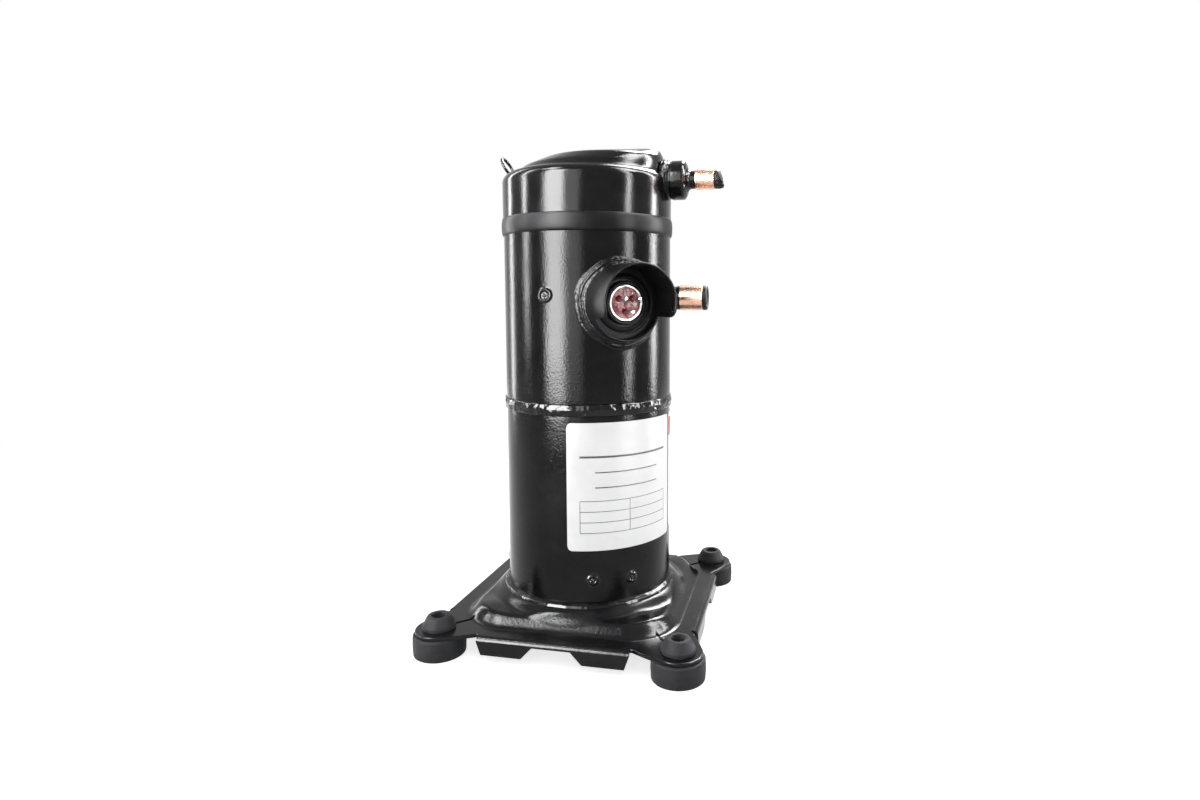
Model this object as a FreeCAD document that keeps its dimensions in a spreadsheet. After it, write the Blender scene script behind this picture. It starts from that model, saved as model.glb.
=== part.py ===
"""Hermetic scroll compressor, in millimetres.

+Z is up. The origin is on the floor, under the axis of the shell, midway
between the four mounting feet. The suction and discharge stubs point along +X.
"""
import FreeCAD, Part
import math
import os
import re
import Sketcher

DIMENSIONS = {
    # shell
    "shell_radius": 69.85,
    "shell_wall": 3.0,
    "shell_bottom": 12.0,
    "shell_corner": 14.0,
    "mid_weld_over_stator": 6.0,
    "mid_weld_width": 10.0,
    "mid_weld_bulge": 1.4,
    "seal_headroom": 6.6,
    "seat_gap": 0.1,
    "overrun": 2.0,
    "long_reach": 600.0,
    "touch_gap": 0.3,
    # cap
    "cap_step": 0.65,
    "cap_rise": 41.0,
    "cap_corner": 8.0,
    "cap_wall": 3.0,
    "cap_weld_width": 16.0,
    "cap_weld_drop": 2.0,
    "cap_weld_bulge": 1.7,
    "crown_rise": 19.0,
    "crown_mid_share": 0.26,
    "crown_brow_share": 0.62,
    "crown_root": 4.0,
    "crown_foot_inset": 7.5,
    "crown_foot_shift": 3.0,
    "crown_mid_inset": 11.0,
    "crown_mid_shift": 6.5,
    "crown_brow_inset": 20.3,
    "crown_brow_shift": 15.2,
    "crown_top_inset": 48.5,
    "crown_top_shift": 40.0,
    # base plate and feet
    "foot_clearance": 25.4,
    "plate_height": 20.0,
    "plate_wall": 3.0,
    "ear_radius": 18.5,
    "plate_margin": 4.75,
    "relief_width": 2.0,
    "flange_overhang": 5.0,
    "flange_bottom": 6.0,
    "flange_corner_gap": 35.25,
    "flange_taper": 3.5,
    "notch_half_bottom": 24.0,
    "notch_half_top": 15.0,
    "notch_top": 15.5,
    "dome_rise": 15.0,
    "dome_foot_gap": 21.15,
    "dome_top_gap": 3.15,
    "ridge_width": 34.0,
    "ridge_gap": 47.15,
    "grommet_hole": 11.3,
    "slot_width": 3.0,
    "slot_length": 31.7,
    "base_weld_size": 3.6,
    "foot_radius": 20.5,
    "foot_groove": 1.2,
    "grommet_neck": 11.0,
    "grommet_shoulder": 13.3,
    "grommet_top_radius": 8.6,
    "grommet_rise": 10.3,
    "bolt_hole": 5.2,
    # plug welds
    "plug_weld_radius": 4.0,
    "plug_weld_rise": 0.5,
    "arm_azimuth": -101.5,
    "arm_drop": 10.0,
    "bracket_azimuth": -58.3,
    "bracket_weld_spread": 13.4,
    "bracket_weld_height": 55.5,
    # discharge fitting
    "discharge_drop": 5.5,
    "fitting_radius": 15.75,
    "fitting_depth": 12.5,
    "fitting_reach": 14.5,
    "fitting_corner": 3.5,
    "fitting_wall": 3.6,
    "neck_radius": 7.1,
    "neck_bore": 4.8,
    "neck_reach": 10.0,
    "neck_cover": 3.0,
    "discharge_tube_radius": 8.0,
    "discharge_tube_bore": 6.4,
    "discharge_tube_reach": 12.6,
    "discharge_plug_reach": 8.4,
    "discharge_plug_depth": 11.0,
    "valve_seat_wall": 2.0,
    "valve_disc_radius": 9.0,
    "valve_disc_wall": 1.2,
    "valve_port": 5.0,
    "valve_travel": 3.0,
    "valve_stop_wall": 1.6,
    # suction fitting
    "suction_drop": 12.0,
    "suction_fitting_radius": 9.9,
    "suction_bore": 8.6,
    "suction_reach": 10.15,
    "suction_spigot": 4.0,
    "suction_tube_radius": 10.35,
    "suction_tube_bore": 9.55,
    "suction_tube_reach": 19.0,
    "suction_plug_head": 3.2,
    "suction_plug_head_radius": 10.1,
    "suction_plug_depth": 14.0,
    "baffle_width": 20.0,
    "baffle_wall": 1.5,
    "baffle_gap": 9.85,
    "baffle_half_height": 8.0,
    # terminal
    "terminal_azimuth": -51.0,
    "terminal_drop": 16.0,
    "terminal_weld_width": 6.3,
    "terminal_weld_rise": 3.4,
    "fence_radius": 30.0,
    "fence_wall": 2.0,
    "collar_rise": 8.15,
    "hood_rise": 33.15,
    "hood_cut": 11.0,
    "hood_corner": 6.0,
    "terminal_plate_rise": 2.15,
    "cup_radius": 16.8,
    "cup_wall": 1.8,
    "cup_depth": 6.25,
    "cup_rise": 6.65,
    "insulator_radius": 12.5,
    "insulator_rise": 5.65,
    "insulator_depth": 4.85,
    "pin_radius": 1.6,
    "pin_circle": 6.6,
    "pin_depth": 14.85,
    "pin_rise": 18.65,
    "connector_width": 22.0,
    "connector_drop": 18.0,
    "connector_depth": 7.0,
    "lead_radius": 1.5,
    # lifting ring
    "ring_wire_radius": 1.35,
    "ring_radius": 9.1,
    "ring_lean": 30.0,
    # labels
    "label_skin": 0.3,
    "label_drop": 111.0,
    "label_size": 101.6,
    "label_azimuth": -88.0,
    "side_label_azimuth": -2.0,
    "side_label_sweep": 62.0,
    "side_label_drop": 108.0,
    "side_label_rise": 99.0,
    "label_corner": 4.0,
    # muffler plate and floating seal
    "muffler_wall": 5.0,
    "muffler_port": 12.0,
    "seal_inner": 22.3,
    "seal_outer": 39.7,
    "seal_height": 9.6,
    "seal_groove_depth": 6.0,
    # scroll set
    "wrap_pitch": 16.0,
    "wrap_wall": 4.0,
    "wrap_start": 6.0,
    "wrap_quarters": 10,
    "wrap_rise": 18.0,
    "flank_gap": 0.25,
    "face_gap": 0.2,
    "housing_rise": 40.0,
    "orbiting_base": 7.0,
    "orbiting_radius": 47.0,
    "hub_radius": 17.5,
    "hub_depth": 16.5,
    "fixed_base": 11.5,
    "fixed_gap": 4.85,
    "fixed_flange": 2.5,
    "scroll_port": 5.0,
    "skirt_window": 24.0,
    "screw_inset": 5.2,
    "screw_radius": 3.0,
    "screw_head_radius": 4.6,
    "screw_head": 6.0,
    "screw_depth": 4.0,
    # Oldham ring
    "oldham_inner": 36.0,
    "oldham_outer": 44.5,
    "oldham_wall": 5.0,
    "oldham_key_width": 8.0,
    "oldham_key_length": 6.0,
    "oldham_key_rise": 4.0,
    "oldham_recess": 6.0,
    # main bearing housing
    "housing_floor": 6.0,
    "housing_floor_inset": 12.0,
    "housing_hub_radius": 26.0,
    "housing_clearance": 37.0,
    "housing_well_radius": 24.0,
    "housing_well_depth": 18.5,
    "arm_width": 16.0,
    "arm_depth": 20.0,
    # bearings and crankshaft
    "running_gap": 0.05,
    "bush_wall": 2.5,
    "main_journal": 15.0,
    "shaft_radius": 11.0,
    "lower_journal": 9.5,
    "shaft_bottom": 34.0,
    "journal_top": 66.0,
    "pin_journal": 7.0,
    "drive_bushing_wall": 4.0,
    "orbiting_bearing_wall": 2.0,
    "oil_hole": 2.0,
    "pickup_bottom": 21.0,
    "pickup_inlet": 3.0,
    "pickup_cover": 4.0,
    # lower bearing bracket
    "bracket_hub_radius": 18.0,
    "bracket_hub_bottom": 46.0,
    "bracket_hub_top": 62.0,
    "bracket_arm_width": 40.0,
    "bracket_wall": 4.0,
    "bracket_tab_height": 14.0,
    # motor
    "stator_bottom": 85.0,
    "stator_rise": 100.0,
    "stator_bore": 36.6,
    "stator_flat_gap": 2.85,
    "slot_count": 24,
    "slot_depth": 16.0,
    "stator_slot_width": 4.0,
    "winding_inner": 41.0,
    "winding_inset": 3.0,
    "winding_top_rise": 28.0,
    "winding_bottom_drop": 18.5,
    "winding_corner": 6.0,
    "air_gap": 0.6,
    "end_ring_rise": 7.0,
    "end_ring_inner": 24.0,
    "end_ring_outer": 35.0,
    "upper_weight_gap": 5.0,
    "upper_weight_rise": 20.0,
    "upper_weight_radius": 43.0,
    "weight_collar": 18.0,
    "lower_weight_rise": 8.0,
    "lower_weight_radius": 34.0,
    "protector_azimuth": 200.0,
    "protector_length": 24.0,
    "protector_width": 11.0,
    "protector_rise": 9.0,
    "magnet_radius": 9.0,
    "magnet_wall": 4.0,
    "magnet_offset": 36.0,
}

# Sizes that follow from the driving ones.
DERIVED = {
    # across
    "shell_inner": "shell_radius - shell_wall",
    "cap_radius": "shell_radius + cap_step",
    "crown_foot_radius": "cap_radius - crown_foot_inset",
    "crown_mid_radius": "cap_radius - crown_mid_inset",
    "crown_brow_radius": "cap_radius - crown_brow_inset",
    "crown_top_radius": "cap_radius - crown_top_inset",
    "foot_place": "shell_radius + foot_clearance",
    "plate_edge": "foot_place + plate_margin",
    "flange_reach": "plate_edge + flange_overhang",
    "flange_half_top": "foot_place - flange_corner_gap",
    "flange_half_bottom": "flange_half_top - flange_taper",
    "dome_foot_radius": "shell_radius + dome_foot_gap",
    "dome_top_radius": "shell_radius + dome_top_gap",
    "ridge_reach": "shell_radius + ridge_gap",
    "slot_reach": "foot_place * sqrt(2) - slot_length",
    "bridge_along": "foot_place - flange_half_top - relief_width",
    "bridge_aside": "plate_edge - foot_place",
    "bridge_square": "bridge_along^2 + bridge_aside^2",
    "bridge_run": "sqrt(bridge_square - ear_radius^2)",
    "tangent_back": "ear_radius * (ear_radius * bridge_along - bridge_run * bridge_aside)"
                    " / bridge_square",
    "tangent_out": "ear_radius * (ear_radius * bridge_aside + bridge_run * bridge_along)"
                   " / bridge_square",
    "fitting_inner_end": "cap_radius - fitting_depth",
    "fitting_outer_end": "cap_radius + fitting_reach",
    "neck_end": "fitting_outer_end + neck_reach",
    "discharge_tube_end": "neck_end + discharge_tube_reach",
    "discharge_plug_end": "discharge_tube_end + discharge_plug_reach",
    "fitting_bore": "fitting_radius - fitting_wall",
    "valve_rest": "fitting_inner_end + valve_seat_wall + touch_gap",
    "suction_shoulder": "shell_radius + suction_reach",
    "suction_tube_end": "suction_shoulder + suction_tube_reach",
    "baffle_face": "shell_inner - baffle_gap",
    "terminal_weld_radius": "fence_radius + terminal_weld_width",
    "fence_collar_reach": "shell_radius + collar_rise",
    "hood_reach": "shell_radius + hood_rise",
    "terminal_plate_face": "shell_radius + terminal_plate_rise",
    "cup_inner_end": "shell_radius - cup_depth",
    "cup_outer_end": "shell_radius + cup_rise",
    "insulator_face": "shell_radius + insulator_rise",
    "insulator_back": "shell_radius - insulator_depth",
    "pin_inner_end": "shell_radius - pin_depth",
    "pin_outer_end": "shell_radius + pin_rise",
    "fixed_radius": "shell_inner - fixed_gap",
    "screw_circle": "fixed_radius - screw_inset",
    "housing_floor_radius": "fixed_radius - housing_floor_inset",
    "stator_flat": "shell_inner - stator_flat_gap",
    "winding_outer": "stator_flat - winding_inset",
    "rotor_radius": "stator_bore - air_gap",
    "rotor_bore": "shaft_radius + running_gap",
    "orbit_radius": "wrap_pitch / 2 - wrap_wall - flank_gap",
    "skirt_inner": "orbiting_radius + orbit_radius + 2 * flank_gap",
    "recess_radius": "oldham_outer + orbit_radius + touch_gap",
    "thrust_outer": "oldham_inner - orbit_radius - touch_gap",
    "oldham_key_circle": "(oldham_inner + oldham_outer) / 2",
    "drive_bushing_radius": "pin_journal + running_gap + drive_bushing_wall",
    "orbiting_bearing_inner": "drive_bushing_radius + running_gap",
    "orbiting_bearing_outer": "orbiting_bearing_inner + orbiting_bearing_wall",
    # upwards
    "foot_drop": "plate_height - plate_wall",
    "dome_height": "plate_height + dome_rise",
    "grommet_top": "plate_height + grommet_rise",
    "stator_top": "stator_bottom + stator_rise",
    "mid_weld_height": "stator_top + mid_weld_over_stator",
    "label_bottom": "mid_weld_height - label_drop",
    "side_label_bottom": "mid_weld_height - side_label_drop",
    "winding_top": "stator_top + winding_top_rise",
    "upper_weight_bottom": "winding_top + upper_weight_gap",
    "housing_hub_bottom": "winding_top + housing_clearance",
    "thrust_height": "housing_hub_bottom + housing_rise",
    "arm_height": "thrust_height - arm_drop",
    "suction_height": "thrust_height - suction_drop",
    "terminal_height": "thrust_height - terminal_drop",
    "recess_floor": "thrust_height - oldham_recess",
    "floor_bottom": "recess_floor - housing_floor",
    "well_floor": "thrust_height - housing_well_depth",
    "orbiting_bottom": "thrust_height + face_gap",
    "hub_bottom": "orbiting_bottom - hub_depth",
    "orbiting_top": "orbiting_bottom + orbiting_base",
    "fixed_bottom": "orbiting_top + wrap_rise + face_gap",
    "fixed_top": "fixed_bottom + fixed_base",
    "shell_top": "fixed_top + seal_headroom",
    "muffler_top": "shell_top + muffler_wall",
    "cap_top": "muffler_top + cap_rise",
    "discharge_height": "cap_top - discharge_drop",
}

doc = FreeCAD.newDocument("scroll_compressor")
sheet = doc.addObject("Spreadsheet::Sheet", "dims")


def bound(expression):
    """Point each named value of an expression at its cell of the sheet."""
    def cell(match):
        word = match.group(0)
        return f"dims.{word}" if word in DIMENSIONS or word in DERIVED else word
    return re.sub(r"[A-Za-z_]\w*", cell, str(expression))


def size(expression):
    """The value of an expression in named sizes."""
    return float(sheet.evalExpression(bound(expression)))


def fill_sheet():
    """One row for each size: its name beside its value."""
    rows = list(DIMENSIONS.items()) + [(name, f"={text}") for name, text in DERIVED.items()]
    for number, (name, value) in enumerate(rows, 1):
        sheet.set(f"A{number}", name)
        sheet.set(f"B{number}", str(value))
        sheet.setAlias(f"B{number}", name)
    doc.recompute()


# ---------------------------------------------------------------- helpers

nodes = {}


def node(name, shape_object):
    """Register an object as the sub-part of that name."""
    shape_object.Label = name
    nodes[name] = shape_object
    return shape_object


def place(item, x="0", y="0", z="0"):
    """Bind an object's position to the sheet."""
    for axis, expression in zip("xyz", (x, y, z)):
        item.setExpression(f"Placement.Base.{axis}", bound(expression))
    return item


def turn(item, azimuth):
    """Turn an object about +Z."""
    item.Placement = FreeCAD.Placement(
        item.Placement.Base, FreeCAD.Rotation(FreeCAD.Vector(0, 0, 1), size(azimuth)))
    return item


def cylinder(name, radius, length, z="0", x="0", y="0"):
    """An upright cylinder."""
    item = doc.addObject("Part::Cylinder", name)
    item.setExpression("Radius", bound(radius))
    item.setExpression("Height", bound(length))
    return place(item, x, y, z)


def cone(name, bottom, top, length, z):
    """An upright cone with its two radii."""
    item = doc.addObject("Part::Cone", name)
    item.setExpression("Radius1", bound(bottom))
    item.setExpression("Radius2", bound(top))
    item.setExpression("Height", bound(length))
    return place(item, z=z)


def box(name, length, width, rise, x="0", y="0", z="0"):
    """A box whose x is its near face, y its middle and z its underside."""
    item = doc.addObject("Part::Box", name)
    item.setExpression("Length", bound(length))
    item.setExpression("Width", bound(width))
    item.setExpression("Height", bound(rise))
    return place(item, x, f"{y} - ({width}) / 2", z)


def radial(name, radius, start, end, z, azimuth="0", aside="0", lift="0"):
    """A cylinder along the ray at an azimuth, from one distance to another."""
    item = doc.addObject("Part::Cylinder", name)
    item.setExpression("Radius", bound(radius))
    item.setExpression("Height", bound(f"{end} - ({start})"))
    spin = FreeCAD.Rotation(FreeCAD.Vector(0, 0, 1), size(azimuth))
    lay = FreeCAD.Rotation(FreeCAD.Vector(0, 1, 0), 90)
    base = spin.multVec(FreeCAD.Vector(size(start), size(aside), 0))
    base.z = size(f"{z} + {lift}")
    item.Placement = FreeCAD.Placement(base, spin.multiply(lay))
    return item


def cut(name, base, *tools):
    """One object less others."""
    for number, tool in enumerate(tools):
        result = doc.addObject("Part::Cut", f"{name}_cut_{number}")
        result.Base = base
        result.Tool = tool
        result.Refine = True
        base = result
    return base


def fuse(name, *items):
    """Several objects as one solid."""
    result = doc.addObject("Part::MultiFuse", name + "_whole")
    result.Shapes = list(items)
    result.Refine = True
    return result


def common(name, first, second):
    """What two objects share."""
    result = doc.addObject("Part::Common", name + "_shared")
    result.Base = first
    result.Tool = second
    return result


def group(name, items):
    """Separate solids that are one node."""
    result = doc.addObject("Part::Compound", name + "_set")
    result.Links = list(items)
    return result


def origin_plane(body, role):
    """A body's own origin plane."""
    return next(item for item in body.Origin.OriginFeatures if item.Role == role)


def outline(body, name, role, points, offset="0"):
    """A closed sketch of straight lines whose corners are bound to the sheet."""
    sketch = body.newObject("Sketcher::SketchObject", name)
    sketch.AttachmentSupport = (origin_plane(body, role), [""])
    sketch.MapMode = "FlatFace"
    sketch.setExpression("AttachmentOffset.Base.z", bound(offset))
    corners = [FreeCAD.Vector(size(x), size(y), 0) for x, y in points]
    count = len(corners)
    for number in range(count):
        line = Part.LineSegment(corners[number], corners[(number + 1) % count])
        sketch.addGeometry(line, False)
    for number in range(count):
        after = (number + 1) % count
        sketch.addConstraint(Sketcher.Constraint("Coincident", number, 2, after, 1))
    for number, point in enumerate(points):
        for kind, expression, axis in zip(("DistanceX", "DistanceY"), point, (-2, -1)):
            if expression == "0":
                sketch.addConstraint(Sketcher.Constraint("PointOnObject", number, 1, axis))
                continue
            value = size(expression)
            index = sketch.addConstraint(
                Sketcher.Constraint(kind, -1, 1, number, 1, value))
            sketch.setExpression(f"Constraints[{index}]", bound(expression))
    return sketch


def turned(name, points, about="V_Axis", sweep=None):
    """A body turned from a profile in the XZ plane, about Z or about X."""
    body = doc.addObject("PartDesign::Body", name)
    sketch = outline(body, name + "_profile", "XZ_Plane", points)
    feature = body.newObject("PartDesign::Revolution", name + "_turn")
    feature.Profile = sketch
    feature.ReferenceAxis = (sketch, [about])
    feature.Angle = 360
    if sweep:
        feature.setExpression("Angle", bound(sweep))
    doc.recompute()
    return body


def padded(name, role, points, length, offset="0", midplane=False):
    """A body padded from an outline."""
    body = doc.addObject("PartDesign::Body", name)
    sketch = outline(body, name + "_outline", role, points, offset)
    feature = body.newObject("PartDesign::Pad", name + "_pad")
    feature.Profile = sketch
    feature.setExpression("Length", bound(length))
    feature.Midplane = midplane
    doc.recompute()
    return body


def patterned(body, count):
    """Repeat a body's last feature about Z."""
    body.AllowCompound = True
    seed = body.Tip
    pattern = body.newObject("PartDesign::PolarPattern", body.Name + "_pattern")
    pattern.Originals = [seed]
    pattern.Axis = (next(a for a in body.Origin.OriginFeatures if a.Role == "Z_Axis"), [""])
    pattern.Angle = 360
    pattern.setExpression("Occurrences", bound(count))
    body.Tip = pattern
    doc.recompute()
    return body


def rounded(body, radius, chosen):
    """Fillet the edges of a body's tip that a test picks."""
    base = body.Tip
    names = [f"Edge{number}" for number, edge in enumerate(base.Shape.Edges, 1)
             if chosen(edge)]
    if not names:
        raise ValueError(f"{body.Name}: no edge to round")
    fillet = body.newObject("PartDesign::Fillet", f"{base.Name}_round")
    fillet.Base = (base, names)
    fillet.setExpression("Radius", bound(radius))
    body.Tip = fillet
    doc.recompute()
    return body


def rim(radius, height, about="z"):
    """A test for the round edge of that radius at that place along its axis."""
    wanted_radius = size(radius)
    wanted_place = size(height)

    def chosen(edge):
        curve = edge.Curve
        if not isinstance(curve, Part.Circle):
            return False
        place_along = getattr(curve.Center, about)
        return (abs(curve.Radius - wanted_radius) < 0.01
                and abs(place_along - wanted_place) < 0.01)
    return chosen


# ---------------------------------------------------------------- shell


def repeated_welds(name, azimuths, height, inner, outer, radius):
    """Short radial cylinders at several azimuths."""
    return [radial(f"{name}_{number}", radius, inner, outer, height, azimuth)
            for number, azimuth in enumerate(azimuths)]


THIRDS = ("0", "120", "240")
ARM_AZIMUTHS = [f"arm_azimuth + {third}" for third in THIRDS]
BRACKET_AZIMUTHS = [f"bracket_azimuth + {third}" for third in THIRDS]
BRACKET_WELD_AZIMUTHS = [f"{azimuth} {sign} bracket_weld_spread"
                         for azimuth in BRACKET_AZIMUTHS for sign in "-+"]


def build_shells():
    """The deep lower cup and the upper tube, butted at the middle weld."""
    lower = turned("lower_shell_cup", [
        ("0", "shell_bottom"),
        ("shell_radius", "shell_bottom"),
        ("shell_radius", "mid_weld_height"),
        ("shell_inner", "mid_weld_height"),
        ("shell_inner", "shell_bottom + shell_wall"),
        ("0", "shell_bottom + shell_wall")])
    rounded(lower, "shell_corner", rim("shell_radius", "shell_bottom"))
    rounded(lower, "shell_corner - shell_wall",
            rim("shell_inner", "shell_bottom + shell_wall"))
    holes = repeated_welds("lower_weld_hole", BRACKET_WELD_AZIMUTHS, "bracket_weld_height",
                           "shell_inner - overrun", "shell_radius + overrun",
                           "plug_weld_radius + seat_gap")
    node("lower_shell", cut("lower_shell", lower, *holes))

    tube = turned("upper_shell_tube", [
        ("shell_inner", "mid_weld_height"),
        ("shell_radius", "mid_weld_height"),
        ("shell_radius", "shell_top"),
        ("shell_inner", "shell_top")])
    holes = repeated_welds("upper_weld_hole", ARM_AZIMUTHS, "arm_height",
                           "shell_inner - overrun", "shell_radius + overrun",
                           "plug_weld_radius + seat_gap")
    holes.append(radial("suction_hole", "suction_fitting_radius + seat_gap", "0",
                        "shell_radius + 2 * overrun", "suction_height"))
    holes.append(radial("terminal_hole", "cup_radius + seat_gap", "0",
                        "shell_radius + 2 * overrun", "terminal_height", "terminal_azimuth"))
    node("upper_shell", cut("upper_shell", tube, *holes))


def build_shell_welds():
    """The middle bead, the smooth cap bead and the plug welds."""
    bead = turned("mid_weld_bead", [
        ("shell_radius + seat_gap", "mid_weld_height - mid_weld_width / 2"),
        ("shell_radius + mid_weld_bulge", "mid_weld_height - mid_weld_width / 4"),
        ("shell_radius + mid_weld_bulge", "mid_weld_height + mid_weld_width / 4"),
        ("shell_radius + seat_gap", "mid_weld_height + mid_weld_width / 2")])
    node("mid_weld", bead)

    cap_bead = turned("cap_weld_bead", [
        ("shell_radius + seat_gap", "muffler_top - cap_weld_width / 2 - cap_weld_drop"),
        ("shell_radius + cap_weld_bulge", "muffler_top - cap_weld_width / 4 - cap_weld_drop"),
        ("shell_radius + cap_weld_bulge", "muffler_top + cap_weld_width / 4 - cap_weld_drop"),
        ("cap_radius + seat_gap", "muffler_top + cap_weld_width / 2 - cap_weld_drop"),
        ("cap_radius + seat_gap", "muffler_top"),
        ("shell_radius + seat_gap", "muffler_top")])
    node("cap_weld", cap_bead)

    upper = repeated_welds("upper_plug", ARM_AZIMUTHS, "arm_height", "shell_inner + seat_gap",
                           "shell_radius + plug_weld_rise", "plug_weld_radius")
    node("upper_plug_welds", group("upper_plug_welds", upper))
    lower = repeated_welds("lower_plug", BRACKET_WELD_AZIMUTHS, "bracket_weld_height",
                           "shell_inner + seat_gap", "shell_radius + plug_weld_rise",
                           "plug_weld_radius")
    node("lower_plug_welds", group("lower_plug_welds", lower))


# ---------------------------------------------------------------- cap

CROWN_SECTIONS = (
    ("crown_foot_shift", "crown_foot_radius", "cap_top - crown_root"),
    ("crown_mid_shift", "crown_mid_radius", "cap_top + crown_rise * crown_mid_share"),
    ("crown_brow_shift", "crown_brow_radius", "cap_top + crown_rise * crown_brow_share"),
    ("crown_top_shift", "crown_top_radius", "cap_top + crown_rise"))


def crown(name, inset):
    """The lopsided crown of the cap, drawn in by a wall."""
    sections = []
    for number, (shift, radius, height) in enumerate(CROWN_SECTIONS):
        circle = doc.addObject("Part::Circle", f"{name}_section_{number}")
        circle.setExpression("Radius", bound(f"{radius} - {inset}"))
        sections.append(place(circle, x=shift, z=f"{height} - {inset}"))
    loft = doc.addObject("Part::Loft", name)
    loft.Sections = sections
    loft.Solid = True
    loft.Ruled = False
    return loft


def build_cap():
    """The top cap: a skirt with a rounded shoulder, and a crown over the discharge."""
    skirt = turned("cap_skirt", [
        ("0", "muffler_top"),
        ("cap_radius", "muffler_top"),
        ("cap_radius", "cap_top"),
        ("0", "cap_top")])
    rounded(skirt, "cap_corner", rim("cap_radius", "cap_top"))
    room = turned("cap_room", [
        ("0", "muffler_top - 1"),
        ("cap_radius - cap_wall", "muffler_top - 1"),
        ("cap_radius - cap_wall", "cap_top - cap_wall"),
        ("0", "cap_top - cap_wall")])
    rounded(room, "cap_corner - cap_wall", rim("cap_radius - cap_wall", "cap_top - cap_wall"))
    outside = fuse("cap_outside", skirt, crown("cap_crown", "0"))
    inside = fuse("cap_inside", room, crown("cap_hollow", "cap_wall"))
    hole = radial("discharge_hole", "fitting_radius + seat_gap", "0",
                  "cap_radius + fitting_reach", "discharge_height")
    node("top_cap", cut("top_cap", outside, inside, hole))


def build_lifting_ring():
    """A wire ring that leans out from the cap's left shoulder."""
    ring = doc.addObject("Part::Torus", "lifting_ring_wire")
    ring.setExpression("Radius1", bound("ring_radius"))
    ring.setExpression("Radius2", bound("ring_wire_radius"))
    lean = math.radians(size("ring_lean"))
    corner = size("cap_corner")
    outward = FreeCAD.Vector(-math.sin(lean), 0, math.cos(lean))
    shoulder = FreeCAD.Vector(size("cap_corner - cap_radius"), 0, size("cap_top - cap_corner"))
    reach = corner + size("ring_radius + ring_wire_radius + seat_gap")
    ring.Placement = FreeCAD.Placement(
        shoulder + outward * reach,
        FreeCAD.Rotation(FreeCAD.Vector(0, 1, 0), 90 - size("ring_lean")))
    node("lifting_ring", ring)


# ---------------------------------------------------------------- base

CORNERS = [(x_sign, y_sign) for x_sign in "+-" for y_sign in "+-"]
FOOT_NAMES = {"++": "right_rear", "+-": "right_front", "-+": "left_rear", "--": "left_front"}


def corner_ridges(name, drop, inset):
    """Ridges that run from the middle to the four corners."""
    foot = f"plate_height - plate_wall - {drop}"
    body = padded(name, "XZ_Plane", [
        ("0", foot),
        (f"ridge_reach - {inset}", foot),
        (f"ridge_reach - {inset}", f"plate_height - {drop}"),
        ("dome_top_radius", f"dome_height - {drop}"),
        ("0", f"dome_height - {drop}")], f"ridge_width - 2 * {inset}", midplane=True)
    patterned(body, "4")
    return turn(body, "45")


def pressed_floor(name, drop, inset):
    """The raised floor of the plate: a dome with ridges to the corners."""
    dome = cone(name + "_dome", f"dome_foot_radius - {inset}", "dome_top_radius",
                "dome_height - plate_height + plate_wall",
                f"plate_height - plate_wall - {drop}")
    return fuse(name, dome, corner_ridges(name + "_ridges", drop, inset))


def build_base_plate():
    """A pressed square plate with four ears, turned-down flanges and a raised middle."""
    thickness = "plate_wall"
    level = "plate_height - plate_wall"
    pieces = [
        padded("plate_sheet", "XY_Plane", sheet_outline(), thickness, level),
        box("plate_across", "2 * flange_reach - plate_wall", "2 * flange_half_top", thickness,
            "plate_wall / 2 - flange_reach", "0", level),
        box("plate_along", "2 * flange_half_top", "2 * flange_reach - plate_wall", thickness,
            "-flange_half_top", "0", level)]
    for x_sign, y_sign in CORNERS:
        pieces.append(cylinder(f"ear_{FOOT_NAMES[x_sign + y_sign]}", "ear_radius", thickness,
                               level, f"{x_sign}foot_place", f"{y_sign}foot_place"))
    flange = padded("plate_flange", "XZ_Plane", [
        ("-flange_half_top", "plate_height"),
        ("-flange_half_bottom", "flange_bottom"),
        ("-notch_half_bottom", "flange_bottom"),
        ("-notch_half_top", "notch_top"),
        ("notch_half_top", "notch_top"),
        ("notch_half_bottom", "flange_bottom"),
        ("flange_half_bottom", "flange_bottom"),
        ("flange_half_top", "plate_height")], "plate_wall", "flange_reach - plate_wall")
    rounded(flange, "plate_wall * 0.9", lambda edge: (
        abs(edge.CenterOfMass.z - size("plate_height")) < 0.01
        and abs(abs(edge.CenterOfMass.y) - size("flange_reach")) < 0.01))
    patterned_flange = flange_set(flange)
    outside = fuse("plate_outside", *pieces, *patterned_flange,
                   pressed_floor("plate_press", "0", "0"))
    tools = [pressed_floor("plate_hollow", "plate_wall", "plate_wall"),
             cylinder("plate_bore", "shell_radius + seat_gap", "long_reach", "-overrun")]
    for x_sign, y_sign in CORNERS:
        tools.append(cylinder(f"foot_hole_{FOOT_NAMES[x_sign + y_sign]}", "grommet_hole",
                              "plate_wall * 3", "plate_height - 2 * plate_wall",
                              f"{x_sign}foot_place", f"{y_sign}foot_place"))
    for number in range(4):
        slot = box(f"foot_slot_{number}", "foot_place * sqrt(2) - slot_reach",
                   "slot_width", "dome_height", "0", "0", "1")
        spin = FreeCAD.Rotation(FreeCAD.Vector(0, 0, 1), 45 + 90 * number)
        start = spin.multVec(FreeCAD.Vector(size("slot_reach"), -size("slot_width / 2"), 0))
        slot.setExpression("Placement.Base.x", None)
        slot.setExpression("Placement.Base.y", None)
        slot.Placement = FreeCAD.Placement(FreeCAD.Vector(start.x, start.y, 1), spin)
        tools.append(slot)
    node("base_plate", cut("base_plate", outside, *tools))


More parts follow.
